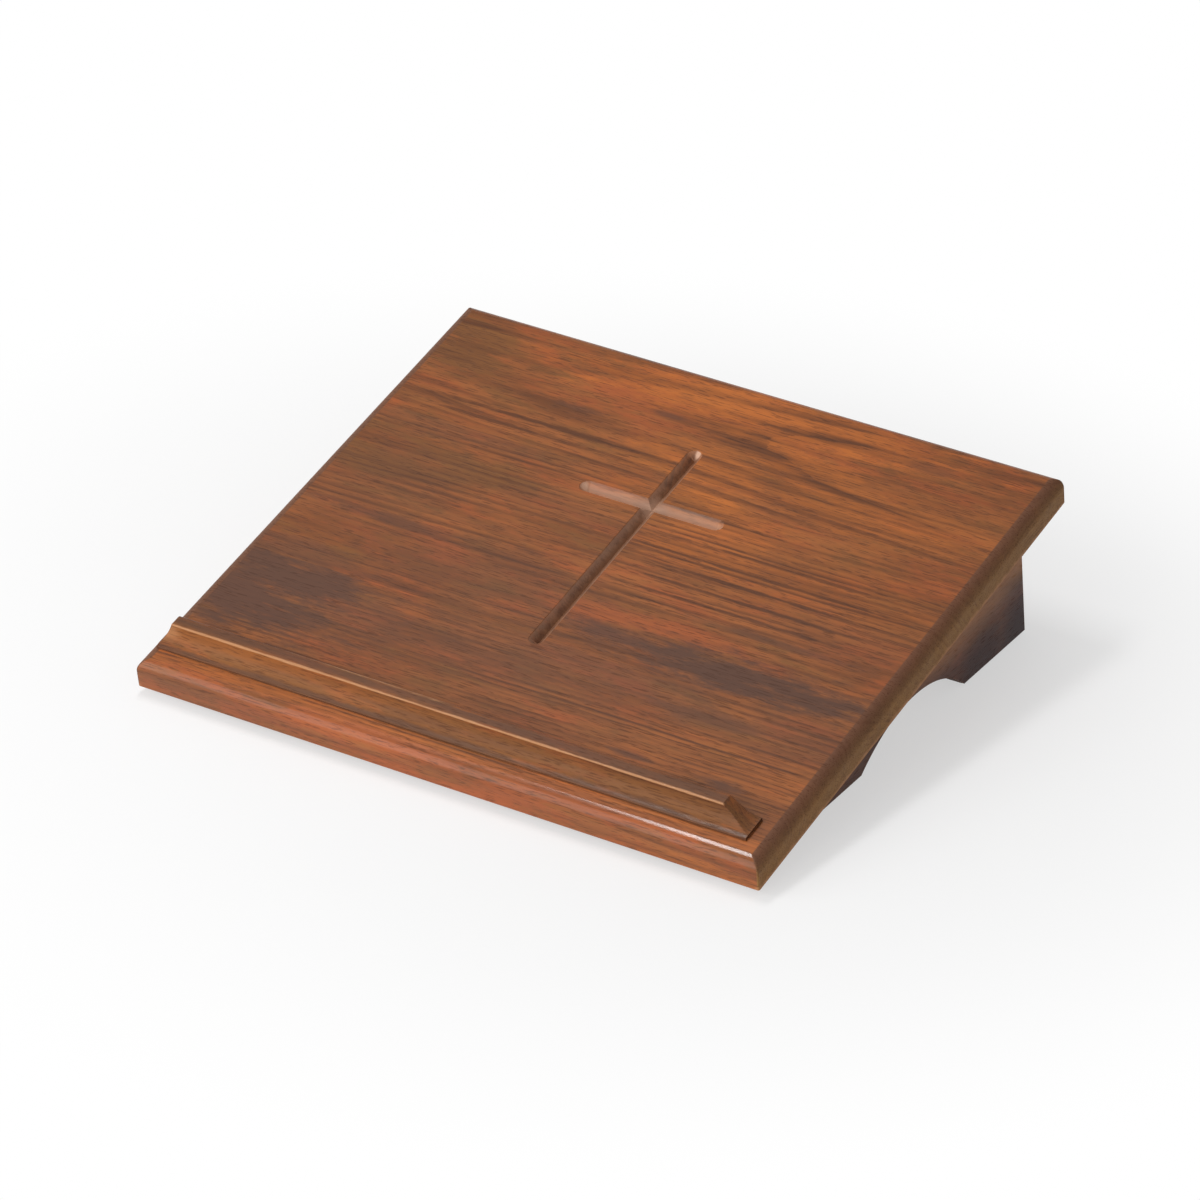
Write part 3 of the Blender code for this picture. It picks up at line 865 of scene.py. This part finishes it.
# %% Legs and ledge in outline
LEG_THICKNESS = 0.019
LEG_INSET = 0.0143
LEG_X = BOARD_WIDTH / 2 - LEG_INSET - LEG_THICKNESS / 2
LEG_SIDES = (("left", -LEG_X), ("right", LEG_X))
LEG_FRONT = 0.0305
LEG_BACK = BOARD_DEPTH - LEG_FRONT
FRONT_FOOT_LENGTH = 0.114
BACK_FOOT_LENGTH = 0.078
FOOT_Z = 0.0018
LEDGE_SETBACK = 0.015
LEDGE_WIDTH = 0.019
LEDGE_LENGTH = 0.385
LEDGE_OFFSET = -0.005


def foot_end(board_y):
    """Where a leg's end, square to the board, comes down to its foot."""
    top = on_board @ Vector((0, board_y, 0))
    return top.y + (top.z - FOOT_Z) * tan(BOARD_SLOPE)


foot_front = foot_end(LEG_FRONT)
foot_back = foot_end(LEG_BACK)
arch_front = foot_front + FRONT_FOOT_LENGTH
arch_back = foot_back - BACK_FOOT_LENGTH
print("the arch is", round(arch_back - arch_front, 3), "m wide")

# %% Where the fixings are
DOWEL_RADIUS = 0.004
STAVE_DOWEL_X = (-0.150, -0.070, 0.070, 0.150)
STAVE_DOWEL_HALF = 0.020
LEG_DOWEL_IN = 0.045
LEG_DOWEL_DROP = 0.012
LEG_DOWEL_RISE = 0.010
FRONT_SCREW_IN = 0.069
BACK_SCREW_IN = 0.039
LEG_SCREW_DOWN = 0.018
LEDGE_SCREWS = 4
LEDGE_SCREW_IN = 0.045
LEDGE_SCREW_BACK = 0.0075
LEDGE_SCREW_SUNK = 0.0005

dowels = {}
up_the_slope = Matrix.Rotation(-pi / 2, 4, "X")
for joint, y in (("front", FIRST_JOINT), ("back", SECOND_JOINT)):
    for number, x in enumerate(STAVE_DOWEL_X, start=1):
        at = Matrix.Translation((x, y, BOARD_THICKNESS / 2)) @ up_the_slope
        dowels[f"{joint}_joint_dowel_{number}"] = (at, -STAVE_DOWEL_HALF, STAVE_DOWEL_HALF)
leg_screws = {}
leg_ends = (
    ("front", LEG_FRONT + LEG_DOWEL_IN, foot_front + FRONT_SCREW_IN),
    ("back", LEG_BACK - LEG_DOWEL_IN, foot_back - BACK_SCREW_IN),
)
for side, x in LEG_SIDES:
    for end, dowel_y, y in leg_ends:
        at = Matrix.Translation((x, dowel_y, 0))
        dowels[f"{side}_leg_{end}_dowel"] = (at, -LEG_DOWEL_DROP, LEG_DOWEL_RISE)
        underside = FRONT_EDGE_HEIGHT + (y + middle_y) * tan(BOARD_SLOPE)
        leg_screws[f"{side}_leg_{end}_screw"] = Vector((x, y, underside - LEG_SCREW_DOWN))
ledge_screws = {}
screw_y = LEDGE_SETBACK + LEDGE_WIDTH - LEDGE_SCREW_BACK
for i in range(LEDGE_SCREWS):
    x = LEDGE_OFFSET + (LEDGE_LENGTH / 2 - LEDGE_SCREW_IN) * (2 * i / (LEDGE_SCREWS - 1) - 1)
    ledge_screws[f"ledge_screw_{i + 1}"] = Vector((x, screw_y, LEDGE_SCREW_SUNK))
print(len(dowels), "dowels,", len(leg_screws) + len(ledge_screws), "screws")

# %% The holes
SEAT_GAP = 0.0003
OVERSHOOT = 0.001
HOLE_SIDES = 32
LEG_HEAD, LEG_SHANK, LEG_SEAT, LEG_TIP = 0.0045, 0.0021, 0.003, 0.031
LEDGE_HEAD, LEDGE_SHANK, LEDGE_SEAT, LEDGE_TIP = 0.0035, 0.00175, 0.0022, 0.0258
SCREW_POINT = 0.004

holes = bmesh.new()


def bore(profile, place):
    """Add a round hole: its (radius, z) points are the fixing's, and it is a little wider."""
    rings = [round_ring(HOLE_SIDES, z, radius + SEAT_GAP) for radius, z in profile]
    add_loft(holes, [[place @ point for point in ring] for ring in rings])


for at, low, high in dowels.values():
    bore([(DOWEL_RADIUS, low - SEAT_GAP), (DOWEL_RADIUS, high + SEAT_GAP)], at)
to_board = on_board.inverted()
for at in leg_screws.values():
    profile = [
        (LEG_HEAD, FOOT_Z - at.z - OVERSHOOT),
        (LEG_HEAD, LEG_SEAT + SEAT_GAP),
        (LEG_SHANK, LEG_SEAT + SEAT_GAP),
        (LEG_SHANK, LEG_TIP - SCREW_POINT),
        (0.0, LEG_TIP + SEAT_GAP),
    ]
    bore(profile, to_board @ Matrix.Translation(at))
for at in ledge_screws.values():
    profile = [
        (LEDGE_HEAD, -at.z - OVERSHOOT),
        (LEDGE_HEAD, 0.0),
        (LEDGE_SHANK, LEDGE_SEAT),
        (LEDGE_SHANK, LEDGE_TIP - SCREW_POINT),
        (0.0, LEDGE_TIP + SEAT_GAP),
    ]
    bore(profile, Matrix.Translation(at))
hole_cutter = add_cutter("holes", holes, on_board)
print("holes", len(hole_cutter.data.polygons), "faces")

# %% [markdown]
# ## The staves
# The board was glued up, planed, and its top edge rounded with a cutter that ran all the way round.
# So the whole board is drawn first, ring upon ring, and then sawn into its staves, with only a
# glue line between them. The cross was cut last, with a pointed cutter, so it runs over the joints.

# %% The whole board
EDGE_STEPS = 16
CORNER_STEPS = 8
FRONT_CORNER = 0.0012
BACK_CORNER = 0.0030
SANDED_CORNER = 0.0008
LOWER_EASE = 0.0006


def plan_outline(inset):
    """The board's outline seen from above, drawn in all round."""
    rounds = [max(corner - inset, SANDED_CORNER) for corner in (FRONT_CORNER, BACK_CORNER)]
    half_width, back = BOARD_WIDTH / 2 - inset, BOARD_DEPTH - inset
    return rounded_box(half_width, inset, back, *rounds, CORNER_STEPS)


def whole_board():
    levels = [(LOWER_EASE, 0.0), (0.0, LOWER_EASE)]
    for angle in quarter_turn(EDGE_STEPS):
        inset = EDGE_ROUND * (1 - cos(angle))
        levels.append((inset, BOARD_THICKNESS - EDGE_ROUND * (1 - sin(angle))))
    rings = [[(x, y, z) for x, y in plan_outline(inset)] for inset, z in levels]
    return add_loft(bmesh.new(), rings)


def saw_off(shape, y, side):
    """Drop what lies on one side of y (+1 is up the slope), and close the sawn edge."""
    everything = shape.verts[:] + shape.edges[:] + shape.faces[:]
    sawn = bmesh.ops.bisect_plane(
        shape, geom=everything, plane_co=(0, y, 0), plane_no=(0, side, 0), clear_outer=True
    )
    edges = [item for item in sawn["geom_cut"] if isinstance(item, bmesh.types.BMEdge)]
    bmesh.ops.contextual_create(shape, geom=edges)


# %% The cross cutters
CROSS_FOOT = 0.110
CROSS_TOP = 0.303
CROSS_HALF_SPAN = 0.048
GROOVE_HALF = 0.005
GROOVE_DEPTH = 0.0048
GROOVE_STEPS = 16


def groove_cutter(name, start, end):
    """A V-groove from start to end, with a cone at each end as the turning cutter leaves it."""
    run = (Vector(end) - Vector(start)).normalized()
    top_radius = GROOVE_HALF * (1 + OVERSHOOT / GROOVE_DEPTH)
    heading = atan2(run.y, run.x)
    shape = bmesh.new()
    rim, root_of = [], []
    for place, turn, inward in ((start, pi / 2, run), (end, -pi / 2, -run)):
        root = Vector(place) + inward * GROOVE_HALF
        tip = shape.verts.new((root.x, root.y, BOARD_THICKNESS - GROOVE_DEPTH))
        for step in range(GROOVE_STEPS + 1):
            angle = heading + turn + step / GROOVE_STEPS * pi
            x = root.x + top_radius * cos(angle)
            y = root.y + top_radius * sin(angle)
            rim.append(shape.verts.new((x, y, BOARD_THICKNESS + OVERSHOOT)))
            root_of.append(tip)
    for i in range(len(rim)):
        j = (i + 1) % len(rim)
        corners = [rim[i], rim[j], root_of[j]]
        if root_of[i] is not root_of[j]:
            corners.append(root_of[i])
        shape.faces.new(corners)
    shape.faces.new(rim)
    return add_cutter(name, shape, on_board)


cross_x, arm_y = CROSS_X * MM, ARM_Y * MM
upright = groove_cutter("upright", (cross_x, CROSS_FOOT), (cross_x, CROSS_TOP))
arm_ends = [(cross_x + side * CROSS_HALF_SPAN, arm_y) for side in (-1, 1)]
arms = groove_cutter("arms", *arm_ends)
print("cutters", upright.name, "and", arms.name)

# %% Saw and carve the staves
GLUE_LINE = 0.00003
WALL_STEEP, WALL_FLAT = GROOVE_HALF / GROOVE_DEPTH * 0.5, 0.85
SQUARE_WITHIN = 0.001


def flatten_walls(mesh):
    """Shade the grooves' long walls flat, so that the cones at their ends don't bend the light."""
    for face in mesh.polygons:
        normal, middle = face.normal, face.center
        sloping = WALL_STEEP < normal.z < WALL_FLAT
        square = min(abs(normal.x), abs(normal.y)) < SQUARE_WITHIN
        near = abs(middle.x - cross_x) < CROSS_HALF_SPAN and CROSS_FOOT < middle.y < CROSS_TOP
        if sloping and square and near:
            face.use_smooth = False


stave_cuts = (
    ("board_front_stave", None, FIRST_JOINT, front_stave_finish),
    ("board_middle_stave", FIRST_JOINT, SECOND_JOINT, middle_stave_finish),
    ("board_back_stave", SECOND_JOINT, None, back_stave_finish),
)
for name, low, high, finish in stave_cuts:
    shape = whole_board()
    if low is not None:
        saw_off(shape, low + GLUE_LINE / 2, -1)
    if high is not None:
        saw_off(shape, high - GLUE_LINE / 2, 1)
    mesh = carve(finished_mesh(name, shape), on_board, (upright, arms, hole_cutter))
    stave = add_piece(name, mesh, on_board, finish)
    flatten_walls(mesh)
    keep_flats_flat(stave)

# %% [markdown]
# ## The book ledge
# A strip of moulding stops the book from sliding: a thin toe in front, a hollow above it, a crisp
# upper edge, and a rounded back where the book rests. At both ends its top was sanded down, in a long
# curve on the right and a short one on the left. A loft along x makes it: the same outline again and
# again, lower towards the ends.

# %% Ledge
LEDGE_HEIGHT = 0.0127
LEDGE_TOE = 0.0015
LEDGE_COVE = 0.009
LEDGE_BACK_ROUND = 0.003
LOW_BACK_ROUND = 0.6
LEDGE_LEFT_SLOPE = 0.006
LEDGE_RIGHT_SLOPE = 0.0185
LEDGE_END_HEIGHT = 0.0019
LEDGE_END_CURVE = 1.5
LEDGE_DOWN = 0.00025
TOE_ROUND = 0.0004
ARRIS_ROUND = 0.0005
COVE_STEPS = 16
BACK_STEPS = 6
END_STEPS = 18


def ledge_section(height):
    """The outline (y, z) where the top is at height: toe, hollow, upper edge and rounded back."""
    depth = LEDGE_HEIGHT - LEDGE_TOE
    reach = acos((LEDGE_HEIGHT - height) / depth)
    points = [(0.0, -LEDGE_DOWN), (0.0, LEDGE_TOE - TOE_ROUND)]
    for step in range(1, COVE_STEPS + 1):
        angle = reach * step / COVE_STEPS
        points.append((LEDGE_COVE * sin(angle), LEDGE_HEIGHT - depth * cos(angle)))
    edge_y, edge_z = points.pop()
    points += [
        (edge_y - 0.3 * ARRIS_ROUND, edge_z - ARRIS_ROUND),
        (edge_y + 0.3 * ARRIS_ROUND, edge_z - 0.2 * ARRIS_ROUND),
        (edge_y + ARRIS_ROUND, edge_z),
    ]
    back_round = min(LEDGE_BACK_ROUND, LOW_BACK_ROUND * height)
    for angle in quarter_turn(BACK_STEPS):
        y = LEDGE_WIDTH - back_round * (1 - sin(angle))
        points.append((y, height - back_round * (1 - cos(angle))))
    points.append((LEDGE_WIDTH, -LEDGE_DOWN))
    return points


def ledge_end(side, slope):
    """Stations (x, height) from one end of the ledge up its slope."""
    stations = []
    for step in range(END_STEPS + 1):
        part = step / END_STEPS
        x = LEDGE_OFFSET + side * (LEDGE_LENGTH / 2 - slope * part)
        rise = (LEDGE_HEIGHT - LEDGE_END_HEIGHT) * part**LEDGE_END_CURVE
        stations.append((x, LEDGE_END_HEIGHT + rise))
    return stations


base = BOARD_THICKNESS + SEAT_GAP
rings = []
for x, height in ledge_end(1, LEDGE_RIGHT_SLOPE) + ledge_end(-1, LEDGE_LEFT_SLOPE)[::-1]:
    rings.append([(x, LEDGE_SETBACK + y, base + z) for y, z in ledge_section(height)])
mesh = carve(loft_mesh("book_ledge", rings), on_board, (hole_cutter,))
keep_flats_flat(add_piece("book_ledge", mesh, on_board, ledge_finish))

# %% [markdown]
# ## The legs
# Each leg is a flat panel on edge, sawn to the board's slope on top and square to the board at both
# ends, with an arch between its feet for the fingers. Its outline is drawn once and pulled out to
# its thickness, and all its edges are eased as sandpaper eases them.

# %% Legs
LEG_UP = 0.00025
ARCH_RISE = 0.023
ARCH_STEPS = 48
LEG_EASE = 0.0009
EASE_STEPS = 3


def leg_outline():
    top_front = on_board @ Vector((0, LEG_FRONT, LEG_UP - SEAT_GAP))
    top_back = on_board @ Vector((0, LEG_BACK, LEG_UP - SEAT_GAP))
    points = [(top_front.y, top_front.z), (top_back.y, top_back.z), (foot_back, FOOT_Z)]
    half_span = (arch_back - arch_front) / 2
    arch_radius = (half_span**2 + ARCH_RISE**2) / (2 * ARCH_RISE)
    half_turn = asin(half_span / arch_radius)
    for step in range(ARCH_STEPS + 1):
        angle = half_turn * (1 - 2 * step / ARCH_STEPS)
        y = (arch_front + arch_back) / 2 + arch_radius * sin(angle)
        points.append((y, FOOT_Z + ARCH_RISE - arch_radius * (1 - cos(angle))))
    points.append((foot_front, FOOT_Z))
    return points


for side, x in LEG_SIDES:
    faces_x = (x - LEG_THICKNESS / 2, x + LEG_THICKNESS / 2)
    rings = [[(face_x, y, z) for y, z in leg_outline()] for face_x in faces_x]
    shape = add_loft(bmesh.new(), rings)
    rim = [edge for edge in shape.edges if edge.calc_face_angle() > SHARP_ANGLE]
    bmesh.ops.bevel(
        shape, geom=rim, offset=LEG_EASE, segments=EASE_STEPS, profile=0.5, affect="EDGES"
    )
    mesh = carve(finished_mesh(f"{side}_leg", shape), on_table, (hole_cutter,))
    keep_flats_flat(add_piece(f"{side}_leg", mesh, on_table, leg_finish))
drop_cutters((hole_cutter, upright, arms))

# %% [markdown]
# ## Beech dowels
# The joints are lined up by fluted dowels. The flutes let air and glue out of the hole, and the
# chamfers help the dowel in. Each is a stack of rings whose radius dips at every flute. Beech is
# pale and even, so the same figure of rings and streaks is used, only faint, with short dark flecks.

# %% Bare beech
BEECH = (0.560, 0.380, 0.230, 1.0)
BEECH_DARK = (0.430, 0.265, 0.150, 1.0)
BEECH_FLECK = (0.330, 0.180, 0.095, 1.0)

beech, shader, place = new_material("bare_beech")
x, y, z = split(place["Object"])
grown = grow(join(z, x, y), 0.01, 0.05, 0.02, 0.0016, 0.002, 61.0)
pores = grown["Pores"]
faint = grown["Rings"] * 0.5 + grown["Streaks"] * 0.4
colour = mix_colours(maths("MINIMUM", faint, 0.9), BEECH, BEECH_DARK)
set_shader(shader, {
    "Base Color": mix_colours(pores * 0.6, colour, BEECH_FLECK),
    "Roughness": soft_step(pores, 0.0, 1.0, 0.60, 0.80),
    "Normal": relief(1.0 - pores, 0.3, 0.0001),
})

# %% Dowels
FLUTES = 18
FLUTE_DEPTH = 0.00025
DOWEL_SIDES = FLUTES * 6
DOWEL_CHAMFER = 0.0008
DOWEL_RINGS = 6


def fluted(angle):
    """The radius of a dowel, pressed in at every flute."""
    return DOWEL_RADIUS - FLUTE_DEPTH * max(0.0, cos(FLUTES * angle)) ** 2


for name, (at, low, high) in dowels.items():
    rings = [round_ring(DOWEL_SIDES, low, DOWEL_RADIUS - DOWEL_CHAMFER)]
    for step in range(DOWEL_RINGS + 1):
        z = low + DOWEL_CHAMFER + (high - low - 2 * DOWEL_CHAMFER) * step / DOWEL_RINGS
        rings.append(round_ring(DOWEL_SIDES, z, fluted))
    rings.append(round_ring(DOWEL_SIDES, high, DOWEL_RADIUS - DOWEL_CHAMFER))
    add_piece(name, loft_mesh(name, rings), on_board @ at, beech)
print(len(dowels), "fluted dowels")

# %% [markdown]
# ## Wood screws
# Screws with rounded heads sit in the deep holes under the feet, and countersunk ones under the board
# hold the ledge. The thread is a ridge that climbs as it goes round, so the radius of each ring
# depends on the angle as well as on the height. A cross recess is cut with two tapered blades. No
# two screws stop at the same angle, so each is turned by a drawn one, from a fixed seed.

# %% Zinc plated steel
ZINC = (0.620, 0.610, 0.580, 1.0)
ZINC_DULL = (0.440, 0.435, 0.420, 1.0)
ZINC_BRIGHT = (0.780, 0.770, 0.740, 1.0)

zinc, shader, place = new_material("zinc_plated_steel")
dulled = soft_step(cloud(place["Object"], (420.0, 420.0, 420.0), 4.0, 0.6), 0.40, 0.66)
polished = use_group(edge_wear, {"Vector": place["Object"], "Radius": 0.0002, "Amount": 0.7})
colour = mix_colours(dulled, ZINC, ZINC_DULL)
set_shader(shader, {
    "Base Color": mix_colours(polished["Mask"], colour, ZINC_BRIGHT),
    "Metallic": 1.0,
    "Roughness": soft_step(dulled, 0.0, 1.0, 0.28, 0.50),
    "Normal": relief(dulled, 0.15, 0.00005),
})

# %% The parts of a screw
THREAD_PITCH = 0.0018
THREAD_CORE = 0.70
RIDGE_HALF = 0.3
RINGS_PER_TURN = 12
SCREW_SIDES = 36
PLAIN_SHANK = 0.0012
THREAD_GAP = 0.0002
BLUNT_TIP = 0.0002
BLADE_MOUTH, BLADE_FOOT = 1.15, 0.45
BLADE_BELOW = 0.0004
BLADE_TAPER = 0.4


def screw_mesh(name, head, shank, tip):
    """A screw along z: the head's (radius, z) points, then a threaded shank with a point."""
    start = head[-1][1] + PLAIN_SHANK

    def threaded(angle, z):
        turns = (z - start) / THREAD_PITCH - angle / (2 * pi)
        ridge = max(0.0, 1 - abs(turns % 1 - 0.5) / RIDGE_HALF)
        share = THREAD_CORE + (1 - THREAD_CORE) * ridge
        return max(shank * share * min(1.0, (tip - z) / SCREW_POINT), BLUNT_TIP)

    rings = [round_ring(SCREW_SIDES, z, radius) for radius, z in head]
    rings.append(round_ring(SCREW_SIDES, start - THREAD_GAP, shank))
    count = round((tip - start) / THREAD_PITCH * RINGS_PER_TURN)
    for step in range(count + 1):
        z = start + (tip - start) * step / count
        rings.append(round_ring(SCREW_SIDES, z, lambda angle: threaded(angle, z)))
    return loft_mesh(name, rings)


def recess_blades(reach, depth, half_width):
    """Two crossed, tapered blades that cut a screw's recess from below."""
    blades = []
    for number, turn in enumerate((0.0, pi / 2)):
        rings = []
        for share, z in ((BLADE_MOUTH, -BLADE_BELOW), (BLADE_FOOT, depth)):
            half, wide = reach * share, half_width * (1 - BLADE_TAPER + BLADE_TAPER * share)
            corners = ((-half, -wide), (half, -wide), (half, wide), (-half, wide))
            rings.append([(x, y, z) for x, y in corners])
        shape = add_loft(bmesh.new(), rings)
        blades.append(add_cutter(f"blade_{number}", shape, Matrix.Rotation(turn, 4, "Z")))
    return blades


# %% Screws
PAN_FLAT = 0.0026
PAN_CROWN = 0.0017
PAN_STEPS = 6
HEAD_EASE = 0.0002
LEG_RECESS = (0.0024, 0.0018, 0.0005)
LEDGE_RECESS = (0.0018, 0.0014, 0.0004)
TURN_SEED = 8

pan_head = []
for angle in quarter_turn(PAN_STEPS):
    radius = PAN_FLAT + (LEG_HEAD - PAN_FLAT) * sin(angle)
    pan_head.append((radius, PAN_CROWN * (1 - cos(angle))))
pan_head += [
    (LEG_HEAD, LEG_SEAT - HEAD_EASE),
    (LEG_HEAD - HEAD_EASE, LEG_SEAT),
    (LEG_SHANK, LEG_SEAT + HEAD_EASE / 2),
]
sunk_head = [(LEDGE_HEAD - HEAD_EASE / 2, 0.0), (LEDGE_HEAD, HEAD_EASE), (LEDGE_SHANK, LEDGE_SEAT)]

drawn = random.Random(TURN_SEED)
fixings = (
    (leg_screws, on_table, pan_head, LEG_SHANK, LEG_TIP, LEG_RECESS),
    (ledge_screws, on_board, sunk_head, LEDGE_SHANK, LEDGE_TIP, LEDGE_RECESS),
)
for screws, ground, head, shank, tip, recess in fixings:
    blades = recess_blades(*recess)
    for name, at in screws.items():
        mesh = carve(screw_mesh(name, head, shank, tip), on_table, blades)
        turn = Matrix.Rotation(drawn.uniform(0.0, pi / 2), 4, "Z")
        add_piece(name, mesh, ground @ Matrix.Translation(at) @ turn, zinc)
    print(len(screws), "screws of", len(mesh.polygons), "faces")
    drop_cutters(blades)

# %% [markdown]
# ## Felt under the feet
# A strip of pressed felt under each foot covers the screw hole and spares the altar. Felt is a mat of
# short hairs without a weave, cut with scissors, so the strip's edge is soft and not quite straight.
# The outline is drawn with many points, and noise moves them a little. The noise gets a fixed seed,
# because without one it would move them another way in every run.

# %% Pressed felt
FELT_DARK = (0.055, 0.030, 0.018, 1.0)
FELT_PALE = (0.150, 0.088, 0.056, 1.0)
FELT_SHINE = 0.15
FELT_SHEEN = 0.25
CROSSING_SHIFT = (3.0, 9.0, 1.0)

felt, shader, place = new_material("pressed_felt")
hairs = cloud(place["Object"], (450.0, 3200.0, 2400.0), 3.0, 0.6)
crossing = cloud(place["Object"], (3200.0, 450.0, 2400.0), 3.0, 0.6, CROSSING_SHIFT)
hairs = soft_step(maths("MAXIMUM", hairs, crossing), 0.45, 0.75)
tufts = cloud(place["Object"], (260.0, 260.0, 260.0), 3.0, 0.6)
matted = tufts * 0.5 + hairs * 0.6
set_shader(shader, {
    "Base Color": mix_colours(maths("MINIMUM", matted, 1.0), FELT_DARK, FELT_PALE),
    "Roughness": soft_step(hairs, 0.0, 1.0, 0.98, 0.85),
    "Specular IOR Level": FELT_SHINE,
    "Sheen Weight": FELT_SHEEN,
    "Normal": relief(matted, 0.6, 0.0002),
})

# %% Felt strips
FELT_WIDTH = 0.015
FELT_INSET = 0.002
FELT_CORNER = 0.0015
FELT_CORNER_STEPS = 4
FELT_STEP = 0.001
FELT_RAGGED = 0.00012
FELT_LUMPS = 300
FELT_SEED = 8
FELT_LEVELS = (
    (0.0007, 0.0), (0.0003, 0.00015), (0.00015, 0.0005),
    (0.00015, 0.0012), (0.0003, 0.0016), (0.0007, 0.00175),
)


def strip_outline(length):
    """A long rectangle with rounded corners, as evenly spaced points."""
    rounds = (FELT_CORNER, FELT_CORNER)
    points = rounded_box(FELT_WIDTH / 2, -length / 2, length / 2, *rounds, FELT_CORNER_STEPS)
    points = [Vector(point) for point in points]
    spaced = []
    for start, end in zip(points, points[1:] + points[:1]):
        count = max(1, round((end - start).length / FELT_STEP))
        spaced += [start.lerp(end, step / count) for step in range(count)]
    return spaced


def felt_ring(x, low, length, inset, z):
    """One level of a strip, drawn in and made ragged by noise."""
    ring = []
    for point in strip_outline(length):
        spot = Vector((point.x + x, point.y + low, 2 * z)) * FELT_LUMPS
        ragged = noise.noise_vector(spot) * FELT_RAGGED
        in_x, in_y = point.x * (1 - 2 * inset / FELT_WIDTH), point.y * (1 - 2 * inset / length)
        ring.append((in_x + ragged.x, in_y + ragged.y, z))
    return ring


noise.seed_set(FELT_SEED)
for side, x in LEG_SIDES:
    for end, low, high in (("front", foot_front, arch_front), ("back", arch_back, foot_back)):
        name = f"{side}_leg_{end}_pad"
        length = high - low - 2 * FELT_INSET
        mesh = loft_mesh(name, [felt_ring(x, low, length, *level) for level in FELT_LEVELS])
        at = Matrix.Translation((x, (low + high) / 2, 0.0))
        strip = add_piece(name, mesh, at, felt)
        print(strip.name, round(length, 3), "m")
